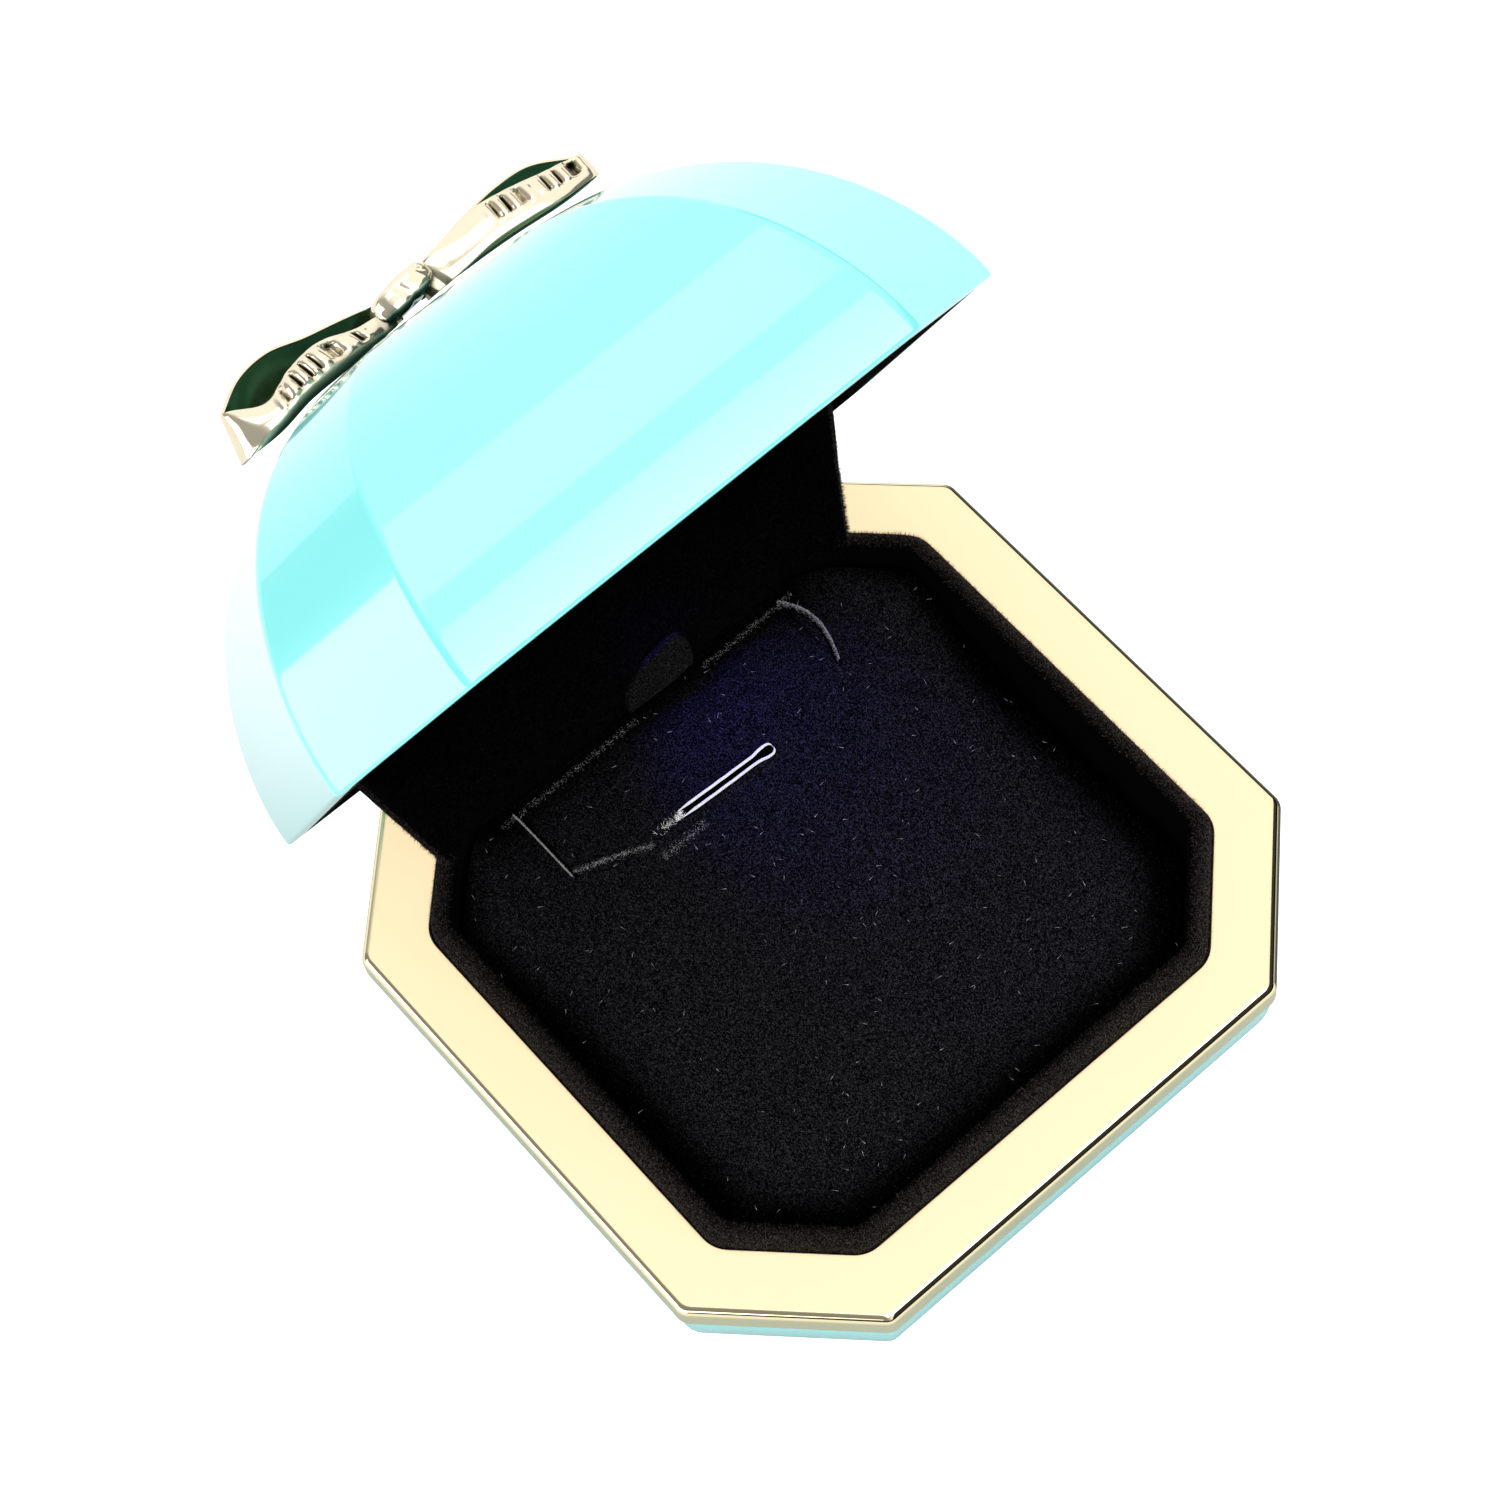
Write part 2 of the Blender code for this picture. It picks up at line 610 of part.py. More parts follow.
def lamp_unit(body):
    """Lamp, battery and holder above the liner's ceiling. Heights run up from the lid's mouth."""
    def at(height):
        return Vector((0, 0, LID_PLANE + height))

    edge = 0.4 * MM
    lens_low = LINER_CEILING - LINER_WALL - 0.2 * MM
    turned(
        "lamp_lens",
        [(0, 1.4 * MM), (LENS_RADIUS - edge, 1.4 * MM), (LENS_RADIUS, 1.0 * MM), (LENS_RADIUS, edge),
         (LENS_RADIUS - edge, 0), (LENS_RADIUS * 0.5, -0.3 * MM), (0, -0.4 * MM)],
        at(lens_low), "clear_plastic", body,
    )
    lamp_low = LINER_CEILING + 0.6 * MM
    bulb = 2.0 * MM
    turned(
        "lamp",
        [(0, 2.7 * MM), (bulb, 2.7 * MM), (bulb, 1.6 * MM), (bulb * 0.8, 0.6 * MM), (bulb * 0.4, 0.1 * MM), (0, 0)],
        at(lamp_low), "clear_plastic", body, 20,
    )
    board_low = lamp_low + 3.0 * MM
    board_thick = 0.8 * MM
    cylinder("lamp_board", at(board_low), at(board_low + board_thick), CELL_RADIUS + 1 * MM, "circuit_board", body)
    cell_low = board_low + board_thick + GAP
    for name in ("coin_cell_lower", "coin_cell_upper"):
        turned(
            name,
            [(0, CELL_THICK), (CELL_RADIUS - edge, CELL_THICK), (CELL_RADIUS, CELL_THICK - edge),
             (CELL_RADIUS, 0.3 * MM), (CELL_RADIUS - 1 * MM, 0), (0, 0)],
            at(cell_low), "steel", body,
        )
        cell_low += CELL_THICK + GAP
    turned(
        "battery_contact",
        [(0, 0.4 * MM), (6 * MM, 0.4 * MM), (6 * MM, 0), (0, 0)],
        at(cell_low), "spring_steel", body, 24,
    )
    wall = 0.8 * MM
    low, top = LINER_CEILING + GAP, HOLDER_TOP
    turned(
        "lamp_holder",
        [(0, top), (HOLDER_RADIUS - wall, top), (HOLDER_RADIUS, top - wall), (HOLDER_RADIUS, low),
         (HOLDER_RADIUS - wall, low), (HOLDER_RADIUS - wall, top - wall), (0, top - wall)],
        at(0), "white_plastic", body,
    )


def switch(lid, slider):
    centre = Vector((SWITCH_X, SWITCH_Y, LID_PLANE + SWITCH_LOW + SWITCH_HALF.z))
    body = box("switch_body", centre - SWITCH_HALF, centre + SWITCH_HALF, "black_plastic", lid)
    bore = (SWITCH_X, SWITCH_Y, LID_PLANE - 3 * MM), (SWITCH_X, SWITCH_Y, LID_PLANE + SWITCH_LOW + 3.2 * MM)
    cut(body, cylinder("switch_bore", *bore, PLUNGER_RADIUS + GAP, "steel", lid, 20))
    ends = (SWITCH_X, SWITCH_Y, LID_PLANE - PLUNGER_OUT), (SWITCH_X, SWITCH_Y, LID_PLANE + SWITCH_LOW + 1.2 * MM)
    plunger = cylinder("switch_plunger", *ends, PLUNGER_RADIUS, "white_plastic", slider, 20)
    bevel = plunger.modifiers.new("edge", "BEVEL")
    bevel.width = 0.2 * MM
    bevel.segments = 1


def bow_loop(name, side, body):
    """Ribbon that leaves the knot in front, folds over at its end and comes back behind."""
    along_steps, across_steps = 34, 3
    reach = LOOP_REACH - LOOP_START
    bm = bmesh.new()
    rows = []
    for step in range(along_steps + 1):
        angle = -pi * 0.94 * (1 - 2 * step / along_steps)  # runs from the front ply round the fold to the rear ply
        out = (cos(angle) + 1) / 2
        belly_out = sin(angle) * (0.35 + 0.65 * sin(pi * min(out * 1.15, 1)))
        front = max(0, -sin(angle))
        width = RIBBON_WIDTH * (0.62 + 0.38 * out) * (1 - 0.28 * front * sin(pi * out))
        middle = BOW_CENTRE.z + (0.5 - 0.9 * out) * MM
        x = BOW_CENTRE.x + side * (LOOP_START + reach * out)
        y = LOOP_DEPTH * belly_out
        lean = 0.16 * width * out
        row = []
        for across in range(across_steps + 1):
            share = across / across_steps - 0.5
            row.append(bm.verts.new((x - side * lean * share, y - 0.1 * width * share, middle + width * share)))
        rows.append(row)
    for low, high in zip(rows, rows[1:]):
        for index in range(across_steps):
            bm.faces.new((low[index], low[index + 1], high[index + 1], high[index]))
    mesh = bpy.data.meshes.new(name)
    bm.to_mesh(mesh)
    bm.free()
    thicken(add_object(name, mesh, "gold", body), RIBBON_THICK)


def bow(body):
    bow_loop("bow_left_loop", -1, body)
    bow_loop("bow_right_loop", 1, body)
    bm = bmesh.new()
    bmesh.ops.create_cube(bm, size=1, matrix=Matrix.LocRotScale(BOW_CENTRE, None, KNOT_SIZE))
    knot = add_object("bow_knot", mesh_from("bow_knot", bm), "gold", body)
    rounding = knot.modifiers.new("edge", "BEVEL")
    rounding.width = 1.4 * MM
    rounding.segments = 3
    top = BOW_CENTRE.z - KNOT_SIZE.z / 2 - GAP
    inside = LID_PLANE + LID_HEIGHT - LID_WALL
    x = BOW_CENTRE.x
    cylinder("bow_post", (x, 0, inside - 1.1 * MM), (x, 0, top), POST_RADIUS, "gold", body, 24)
    nut = 0.5 * MM
    turned(
        "bow_push_nut",
        [(POST_RADIUS + GAP, nut), (3.4 * MM, nut), (3.4 * MM, 0), (POST_RADIUS + GAP, 0)],
        Vector((x, 0, inside - 0.5 * MM - nut)), "spring_steel", body,
    )


def add_body(name, location, turn=0.0, parent=None):
    """Empty that carries a body's pieces, on its joint's axis."""
    empty = bpy.data.objects.new(name, None)
    empty.location = location
    MODEL.objects.link(empty)
    if parent:
        ride(empty, parent)
    empty.rotation_euler = (turn, 0, 0)
    return empty


clear_scene()
MODEL = bpy.data.collections.new("ring_box")
CUTTERS = bpy.data.collections.new("cutters")
CUTTERS.hide_render = True
bpy.context.scene.collection.children.link(MODEL)
bpy.context.scene.collection.children.link(CUTTERS)
MATERIALS = {name: make_material(name) for name in COLOURS}

SCREW_Z = PIVOT.z - 3.9 * MM
LID_SCREW_Z = LID_PLANE + 4.4 * MM
LID_SCREW_X = 4.6 * MM

base_body = add_body("base_frame", Vector((0, 0, 0)))
pad_body = add_body("pad_lift", Vector((0, 0, PAD_TOP)))
lid_body = add_body("lid_pivot", PIVOT, -OPEN_ANGLE)
switch_body = add_body("switch_slide", Vector((SWITCH_X, SWITCH_Y, LID_PLANE)), 0, lid_body)

base_shell(base_body)
gold_rim(base_body)
foot_and_weight(base_body)
base_liner(base_body)
pad(pad_body)
hinge(base_body, lid_body)
hinge_cover(base_body)
lid_shell(lid_body)
lid_liner(lid_body)
lamp_unit(lid_body)
switch(lid_body, switch_body)
bow(lid_body)
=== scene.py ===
"""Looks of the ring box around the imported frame: lacquer, gold plating, velvet with its pile, and the ribbon bow."""

import json
import random
from math import asin, cos, exp, pi, radians, sin, sqrt, tau

import bmesh
import bpy
from mathutils import Matrix, Vector, noise


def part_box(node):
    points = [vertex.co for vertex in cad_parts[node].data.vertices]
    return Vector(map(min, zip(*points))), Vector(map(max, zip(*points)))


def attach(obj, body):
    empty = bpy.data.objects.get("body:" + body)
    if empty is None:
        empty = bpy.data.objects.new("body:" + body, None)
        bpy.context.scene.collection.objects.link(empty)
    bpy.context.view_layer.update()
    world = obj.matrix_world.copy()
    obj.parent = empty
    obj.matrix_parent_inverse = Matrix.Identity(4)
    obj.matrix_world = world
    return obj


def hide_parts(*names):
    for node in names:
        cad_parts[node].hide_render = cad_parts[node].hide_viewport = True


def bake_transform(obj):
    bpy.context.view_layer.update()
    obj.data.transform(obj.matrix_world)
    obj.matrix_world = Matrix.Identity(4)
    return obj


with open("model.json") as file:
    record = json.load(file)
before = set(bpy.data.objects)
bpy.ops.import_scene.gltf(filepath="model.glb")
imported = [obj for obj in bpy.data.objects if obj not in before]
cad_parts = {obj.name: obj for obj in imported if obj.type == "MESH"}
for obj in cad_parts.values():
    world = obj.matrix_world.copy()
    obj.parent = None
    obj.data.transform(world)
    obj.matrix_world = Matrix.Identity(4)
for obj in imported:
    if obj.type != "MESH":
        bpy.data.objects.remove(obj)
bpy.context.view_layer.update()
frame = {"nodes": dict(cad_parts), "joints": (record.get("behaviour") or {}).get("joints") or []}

MM = 0.001
CORNER_STEPS = 6
CHAMFER_SHRINK = 2 - sqrt(2)

# Sizes read off the frame
rim_low, rim_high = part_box("gold_rim")
shell_low, shell_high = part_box("base_shell")
liner_low, liner_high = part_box("base_liner")
RIM_EDGE = 1.2 * MM
HALF_WIDTH = rim_high.x - RIM_EDGE
HALF_DEPTH = -rim_low.y - RIM_EDGE
RIM_TOP = rim_high.z
BAND_LOW = rim_low.z
CHAMFER = 14.3 * MM
HINGE = next(joint for joint in frame["joints"] if joint["name"] == "lid_hinge")
PIVOT = Vector(HINGE["pos_m"])
OPENING = (
    Matrix.Translation(PIVOT)
    @ Matrix.Rotation(radians(-HINGE["range_deg"][0]), 4, Vector(HINGE["axis"]))
    @ Matrix.Translation(-PIVOT)
)
LID_PLANE = RIM_TOP + 0.3 * MM
LID_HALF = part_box("lid_shell")[1].x
LID_CHAMFER = 13.5 * MM
LID_HEIGHT = 32.15 * MM
LID_WALL = 2.0 * MM
LINER_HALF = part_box("lid_liner")[1].x
LINER_WALL = 1.2 * MM
LINER_CEILING = 18.5 * MM
DOME_SPREAD = 2.99
DOME_RISE = 1.68
COLLAR_OUTER = HALF_WIDTH - liner_high.x
COLLAR_WALL = 2.4 * MM
COLLAR_CREST = liner_high.z
PAD_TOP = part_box("pad_cover")[1].z
PAD_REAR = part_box("pad_cover")[1].y


# ---------------------------------------------------------------- materials

def new_material(name):
    material = bpy.data.materials.new(name)
    material.use_nodes = True
    nodes = material.node_tree.nodes
    return material, nodes, material.node_tree.links, nodes["Principled BSDF"]


def node(nodes, kind, **inputs):
    made = nodes.new(kind)
    for key, value in inputs.items():
        made.inputs[key.replace("_", " ")].default_value = value
    return made


def noise_texture(nodes, links, scale, detail=4.0, stretch=(1, 1, 1), distortion=0.0):
    place = nodes.new("ShaderNodeTexCoord")
    mapping = nodes.new("ShaderNodeMapping")
    mapping.inputs["Scale"].default_value = stretch
    links.new(place.outputs["Object"], mapping.inputs["Vector"])
    texture = node(nodes, "ShaderNodeTexNoise", Scale=scale, Detail=detail, Distortion=distortion)
    links.new(mapping.outputs["Vector"], texture.inputs["Vector"])
    return texture.outputs["Fac"]


def ramp(nodes, links, source, stops):
    made = nodes.new("ShaderNodeValToRGB")
    elements = made.color_ramp.elements
    while len(elements) < len(stops):
        elements.new(0.5)
    for element, (place, colour) in zip(elements, stops):
        element.position = place
        element.color = (*colour, 1)
    links.new(source, made.inputs["Fac"])
    return made.outputs["Color"]


def bump(nodes, links, source, distance, strength=1.0, after=None):
    made = node(nodes, "ShaderNodeBump", Strength=strength, Distance=distance)
    links.new(source, made.inputs["Height"])
    if after:
        links.new(after, made.inputs["Normal"])
    return made.outputs["Normal"]


def grey(value):
    return (value, value, value)


def lacquer():
    """Glossy turquoise lacquer under a clear coat, with the faint orange peel of sprayed paint."""
    material, nodes, links, shader = new_material("lacquer")
    tone = noise_texture(nodes, links, 60, 2)
    links.new(
        ramp(nodes, links, tone, [(0.3, (0.258, 0.940, 0.920)), (0.7, (0.270, 0.950, 0.930))]),
        shader.inputs["Base Color"],
    )
    shader.inputs["Roughness"].default_value = 0.22
    shader.inputs["IOR"].default_value = 1.55
    shader.inputs["Coat Weight"].default_value = 1.0
    shader.inputs["Coat IOR"].default_value = 1.65
    scuffs = noise_texture(nodes, links, 900, 3, (1, 0.12, 1))
    links.new(ramp(nodes, links, scuffs, [(0.35, grey(0.015)), (0.8, grey(0.05))]), shader.inputs["Coat Roughness"])
    peel = bump(nodes, links, noise_texture(nodes, links, 420, 2), 0.006 * MM, 0.35)
    links.new(peel, shader.inputs["Coat Normal"])
    return material


def facing_up(nodes, links, low, high):
    """0 on steep faces, 1 where the surface faces straight up."""
    place = nodes.new("ShaderNodeNewGeometry")
    split = nodes.new("ShaderNodeSeparateXYZ")
    links.new(place.outputs["Normal"], split.inputs["Vector"])
    made = nodes.new("ShaderNodeMapRange")
    made.interpolation_type = "SMOOTHSTEP"
    made.inputs["From Min"].default_value = low
    made.inputs["From Max"].default_value = high
    links.new(split.outputs["Z"], made.inputs["Value"])
    return made.outputs["Result"]


def mixed(nodes, links, factor, first, second):
    made = nodes.new("ShaderNodeMix")
    made.data_type = "RGBA"
    for name, value in (("A", first), ("B", second)):
        if isinstance(value, tuple):
            made.inputs[name].default_value = (*value, 1)
        else:
            links.new(value, made.inputs[name])
    links.new(factor, made.inputs["Factor"])
    return made.outputs["Result"]


def gold():
    """Pale plating over moulded plastic: a mirror with a slow waviness and fine rub marks; its recesses carry painted
    shade in dark green, standing in for shaded reflections.
    """
    material, nodes, links, shader = new_material("gold")
    tone = noise_texture(nodes, links, 90, 3)
    bright = ramp(nodes, links, tone, [(0.25, (0.78, 0.68, 0.50)), (0.75, (0.84, 0.74, 0.56))])
    # Painted shade: the base colour turns dark green where the ambient occlusion finds recesses, standing in for the
    # shaded lid they reflect.
    hollow = nodes.new("ShaderNodeAmbientOcclusion")
    hollow.samples = 8
    hollow.inputs["Distance"].default_value = 5.5 * MM
    links.new(
        mixed(nodes, links, ramp(nodes, links, hollow.outputs["AO"], [(0.46, grey(0)), (0.74, grey(1))]), (0.020, 0.026, 0.010), bright),
        shader.inputs["Base Color"],
    )
    shader.inputs["Metallic"].default_value = 0.76
    rubs = noise_texture(nodes, links, 700, 4, (1, 0.15, 1))
    links.new(ramp(nodes, links, rubs, [(0.4, grey(0.08)), (0.85, grey(0.16))]), shader.inputs["Roughness"])
    wave = bump(nodes, links, noise_texture(nodes, links, 130, 1), 0.02 * MM, 0.25)
    links.new(wave, shader.inputs["Normal"])
    return material


def ribbon_inside():
    """Inner side of the bow's ribbon: plating whose dark moss-green colour is a painted reflection of the shaded teal
    lid between the plies.
    """
    material, nodes, links, shader = new_material("ribbon_inside")
    # Painted reflection: the dark green colour stands in for the shaded teal lid that the inner side reflects between
    # the plies.
    tone = noise_texture(nodes, links, 120, 3)
    links.new(
        ramp(nodes, links, tone, [(0.3, (0.045, 0.085, 0.035)), (0.7, (0.075, 0.130, 0.055))]),
        shader.inputs["Base Color"],
    )
    shader.inputs["Metallic"].default_value = 0.8
    rubs = noise_texture(nodes, links, 700, 4, (1, 0.15, 1))
    links.new(ramp(nodes, links, rubs, [(0.4, grey(0.18)), (0.85, grey(0.32))]), shader.inputs["Roughness"])
    return material


def rim_gold():
    """Satin pale gold on the rim's flat top, polished plating on its edges and sides; the top glows with painted light
    and takes painted shade beside the collar, and the right-facing edges carry a painted dark reflection.
    """
    material, nodes, links, shader = new_material("rim_gold")
    top = facing_up(nodes, links, 0.93, 0.998)
    tone = noise_texture(nodes, links, 90, 3)
    satin_and_painted_shade = ramp(nodes, links, tone, [(0.25, (0.31, 0.190, 0.125)), (0.75, (0.33, 0.200, 0.135))])
    # Painted shade: the top darkens to brown beside the collar, where the ambient occlusion finds it close.
    near = nodes.new("ShaderNodeAmbientOcclusion")
    near.samples = 8
    near.inputs["Distance"].default_value = 1.5 * MM
    clear = ramp(nodes, links, near.outputs["AO"], [(0.44, grey(0.10)), (0.70, grey(1))])
    satin_and_painted_shade = mixed(nodes, links, clear, (0.10, 0.075, 0.035), satin_and_painted_shade)
    # Painted reflection: the polished sides turn dark where they face right and a little upwards.
    split = nodes.new("ShaderNodeSeparateXYZ")
    links.new(nodes.new("ShaderNodeNewGeometry").outputs["Normal"], split.inputs["Vector"])
    right = nodes.new("ShaderNodeMapRange")
    right.interpolation_type = "SMOOTHSTEP"
    right.inputs["From Min"].default_value = 0.44
    right.inputs["From Max"].default_value = 0.60
    links.new(split.outputs["X"], right.inputs["Value"])
    rounded = nodes.new("ShaderNodeMapRange")
    rounded.interpolation_type = "SMOOTHSTEP"
    rounded.inputs["From Min"].default_value = 0.08
    rounded.inputs["From Max"].default_value = 0.22
    links.new(split.outputs["Z"], rounded.inputs["Value"])
    painted_dark_reflection = times(nodes, links, right.outputs["Result"], rounded.outputs["Result"])
    side = mixed(nodes, links, painted_dark_reflection, (0.80, 0.72, 0.46), (0.030, 0.025, 0.010))
    links.new(mixed(nodes, links, top, side, satin_and_painted_shade), shader.inputs["Base Color"])
    links.new(mixed(nodes, links, top, grey(1.0), grey(0.10)), shader.inputs["Metallic"])
    rubs = noise_texture(nodes, links, 700, 4, (1, 0.15, 1))
    polish = ramp(nodes, links, rubs, [(0.4, grey(0.04)), (0.85, grey(0.10))])
    links.new(mixed(nodes, links, top, polish, grey(0.45)), shader.inputs["Roughness"])
    shader.inputs["Specular IOR Level"].default_value = 0.25
    # Painted light: the flat top glows pale gold, less so in the painted shade beside the collar.
    shader.inputs["Emission Color"].default_value = (1.0, 0.84, 0.52, 1)
    glow = nodes.new("ShaderNodeMath")
    glow.operation = "MULTIPLY"
    glow.inputs[1].default_value = 0.90
    links.new(top, glow.inputs[0])
    links.new(times(nodes, links, glow.outputs[0], clear), shader.inputs["Emission Strength"])
    wave = bump(nodes, links, noise_texture(nodes, links, 130, 1), 0.02 * MM, 0.25)
    links.new(wave, shader.inputs["Normal"])
    return material


def outward(nodes, links):
    """-1 on faces turned to the box's middle, 1 on faces turned away from it."""
    place = nodes.new("ShaderNodeNewGeometry")
    flat = nodes.new("ShaderNodeVectorMath")
    flat.operation = "MULTIPLY"
    flat.inputs[1].default_value = (1, 1, 0)
    links.new(place.outputs["Position"], flat.inputs[0])
    away = nodes.new("ShaderNodeVectorMath")
    away.operation = "NORMALIZE"
    links.new(flat.outputs["Vector"], away.inputs[0])
    dot = nodes.new("ShaderNodeVectorMath")
    dot.operation = "DOT_PRODUCT"
    links.new(place.outputs["Normal"], dot.inputs[0])
    links.new(away.outputs["Vector"], dot.inputs[1])
    return dot.outputs["Value"]


def times(nodes, links, first, second):
    made = nodes.new("ShaderNodeMath")
    made.operation = "MULTIPLY"
    for index, value in enumerate((first, second)):
        if isinstance(value, (int, float)):
            made.inputs[index].default_value = value
        else:
            links.new(value, made.inputs[index])
    return made.outputs[0]


def velvet(name, dark, light, sheen, tint=(0.75, 0.70, 0.72), collar=False, painted_recess_shade=False, painted_glow_strength=0.0):
    """Short flocked pile: near-black, with a fibre grain in its colour, sheen and surface; on request with painted
    shade on inward faces or in recesses, and a painted glow.
    """
    material, nodes, links, shader = new_material(name)
    grain = noise_texture(nodes, links, 6400, 3, (1, 0.75, 0.8), 1.4)
    sharp = ramp(nodes, links, grain, [(0.49, grey(0)), (0.64, grey(1))])
    base = mixed(nodes, links, sharp, dark, light)
    shine = times(nodes, links, sharp, sheen)
    # Painted shade: with collar set, faces turned towards the box's middle darken to near-black and lose their sheen.
    if collar:
        turned = nodes.new("ShaderNodeMapRange")
        turned.interpolation_type = "SMOOTHSTEP"
        turned.inputs["From Min"].default_value = -0.75
        turned.inputs["From Max"].default_value = 0.55
        links.new(outward(nodes, links), turned.inputs["Value"])
        base = mixed(nodes, links, turned.outputs["Result"], grey(0.0012), base)
        shine = times(nodes, links, shine, turned.outputs["Result"])
    # Painted shade: the colour and sheen fall towards black where the ambient occlusion finds recesses, such as the
    # pad's edges beside the collar.
    if painted_recess_shade:
        hollow = nodes.new("ShaderNodeAmbientOcclusion")
        hollow.samples = 6
        hollow.inputs["Distance"].default_value = 8.5 * MM
        open_air = ramp(nodes, links, hollow.outputs["AO"], [(0.52, grey(0.04)), (0.91, grey(1))])
        base = mixed(nodes, links, open_air, grey(0.0), base)
        shine = times(nodes, links, shine, open_air)
    links.new(base, shader.inputs["Base Color"])
    shader.inputs["Roughness"].default_value = 1.0
    shader.inputs["Specular IOR Level"].default_value = 0.02
    links.new(shine, shader.inputs["Sheen Weight"])
    shader.inputs["Sheen Roughness"].default_value = 0.38
    shader.inputs["Sheen Tint"].default_value = (*tint, 1)
    # Painted light: the pile glows in its light colour by the given strength.
    shader.inputs["Emission Color"].default_value = (*light, 1)
    shader.inputs["Emission Strength"].default_value = painted_glow_strength
    links.new(bump(nodes, links, grain, 0.10 * MM, 0.8), shader.inputs["Normal"])
    return material


def plain(name, low, high, scale, roughness, metallic=0.0, depth=0.02 * MM, stretch=(1, 1, 1)):
    """Everyday finish: a slightly uneven colour, roughness and surface."""
    material, nodes, links, shader = new_material(name)
    tone = noise_texture(nodes, links, scale, 5, stretch)
    links.new(ramp(nodes, links, tone, [(0.3, low), (0.7, high)]), shader.inputs["Base Color"])
    rough = ramp(nodes, links, tone, [(0.2, grey(roughness * 0.8)), (0.8, grey(min(1, roughness * 1.25)))])
    links.new(rough, shader.inputs["Roughness"])
    shader.inputs["Metallic"].default_value = metallic
    links.new(bump(nodes, links, tone, depth, 0.5), shader.inputs["Normal"])
    return material


def lens_material():
    """Frosted lens that shines blue-white from the lamp behind it."""
    material, nodes, links, shader = new_material("lamp_lens")
    shader.inputs["Base Color"].default_value = (0.55, 0.6, 1.0, 1)
    shader.inputs["Roughness"].default_value = 0.35
    frost = noise_texture(nodes, links, 500, 2)
    links.new(
        ramp(nodes, links, frost, [(0.3, (0.22, 0.24, 1.0)), (0.7, (0.38, 0.40, 1.0))]),
        shader.inputs["Emission Color"],
    )
    shader.inputs["Emission Strength"].default_value = 1.3
    return material


LACQUER = lacquer()
GOLD = gold()
RIM_GOLD = rim_gold()
RIBBON_INSIDE = ribbon_inside()
# Painted shade: the pad velvet darkens in its recesses, and the collar velvet on its inward faces.
PAD_VELVET = velvet("pad_velvet", (0.0004, 0.0004, 0.0005), (0.042, 0.0400, 0.046), 0.09, painted_recess_shade=True)
COLLAR_VELVET = velvet("collar_velvet", (0.0036, 0.0030, 0.0027), (0.058, 0.050, 0.045), 0.28, (0.80, 0.70, 0.64), True)
LINER_VELVET = velvet("liner_velvet", (0.0010, 0.0010, 0.0010), (0.014, 0.0130, 0.0135), 0.20)
CURTAIN_VELVET = velvet("curtain_velvet", (0.0002, 0.0002, 0.0002), (0.0060, 0.0056, 0.0060), 0.03)
TAB_VELVET = velvet("tab_velvet", (0.0030, 0.0030, 0.0034), (0.030, 0.030, 0.030), 0.20)
PAD_PILE = velvet("pad_pile", (0.003, 0.003, 0.004), (0.060, 0.058, 0.066), 0.08)
# Painted highlight: pale pile with a faint painted glow, marking the lit slits, crease and rear edge of the pad; the
# pad's stray lint uses it too.
SLIT_PILE = velvet("slit_pile", (0.30, 0.29, 0.30), (0.85, 0.83, 0.85), 0.50, painted_glow_strength=0.10)
PILE = velvet("pile", (0.010, 0.0085, 0.0075), (0.112, 0.095, 0.085), 0.42, (0.85, 0.72, 0.64))
# Painted light: the slot lips and their fray are pale pile glowing as if lit by the lamp.
SLOT_LIP = velvet("slot_lip", (0.55, 0.55, 0.50), (0.95, 0.95, 0.86), 0.6, (0.8, 0.78, 1.0), painted_glow_strength=0.42)
FELT = plain("felt", (0.010, 0.010, 0.011), (0.030, 0.029, 0.031), 1500, 0.98, depth=0.1 * MM)
FOAM = plain("foam", (0.05, 0.05, 0.055), (0.12, 0.12, 0.125), 1800, 0.95, depth=0.12 * MM)
BOARD = plain("board", (0.20, 0.16, 0.12), (0.33, 0.27, 0.20), 700, 0.85, depth=0.05 * MM)
STEEL = plain("steel", (0.42, 0.42, 0.43), (0.58, 0.58, 0.59), 900, 0.32, 1.0, 0.01 * MM, (0.15, 1, 1))
SPRING = plain("spring_steel", (0.28, 0.28, 0.30), (0.42, 0.42, 0.44), 900, 0.28, 1.0, 0.01 * MM)
WHITE_PLASTIC = plain("white_plastic", (0.70, 0.70, 0.71), (0.80, 0.80, 0.80), 300, 0.45)
GREEN_BOARD = plain("circuit_board", (0.02, 0.14, 0.05), (0.04, 0.24, 0.09), 250, 0.45)
BLACK_PLASTIC = plain("black_plastic", (0.012, 0.012, 0.013), (0.03, 0.03, 0.032), 400, 0.5)
CLEAR = plain("clear_plastic", (0.60, 0.66, 0.85), (0.72, 0.78, 0.95), 120, 0.15)
LENS = lens_material()


# ---------------------------------------------------------------- helpers

def add_piece(name, mesh, material, replaces=()):
    piece = bpy.data.objects.new(name, mesh)
    mesh.materials.append(material)
    bpy.context.scene.collection.objects.link(piece)
    if replaces:
        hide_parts(*replaces)
    return piece


def apply_modifiers(piece):
    evaluated = piece.evaluated_get(bpy.context.evaluated_depsgraph_get())
    mesh = bpy.data.meshes.new_from_object(evaluated)
    mesh.name = piece.name
    piece.modifiers.clear()
    piece.data = mesh


def shade(piece, angle=32):
    piece.data.shade_smooth()
    piece.data.set_sharp_from_angle(angle=radians(angle))


def weigh_normals(piece):
    """Lets big flat faces keep flat reflections right up to their rounded edges."""
    weighted = piece.modifiers.new("weighted", "WEIGHTED_NORMAL")
    weighted.keep_sharp = True
    weighted.weight = 100


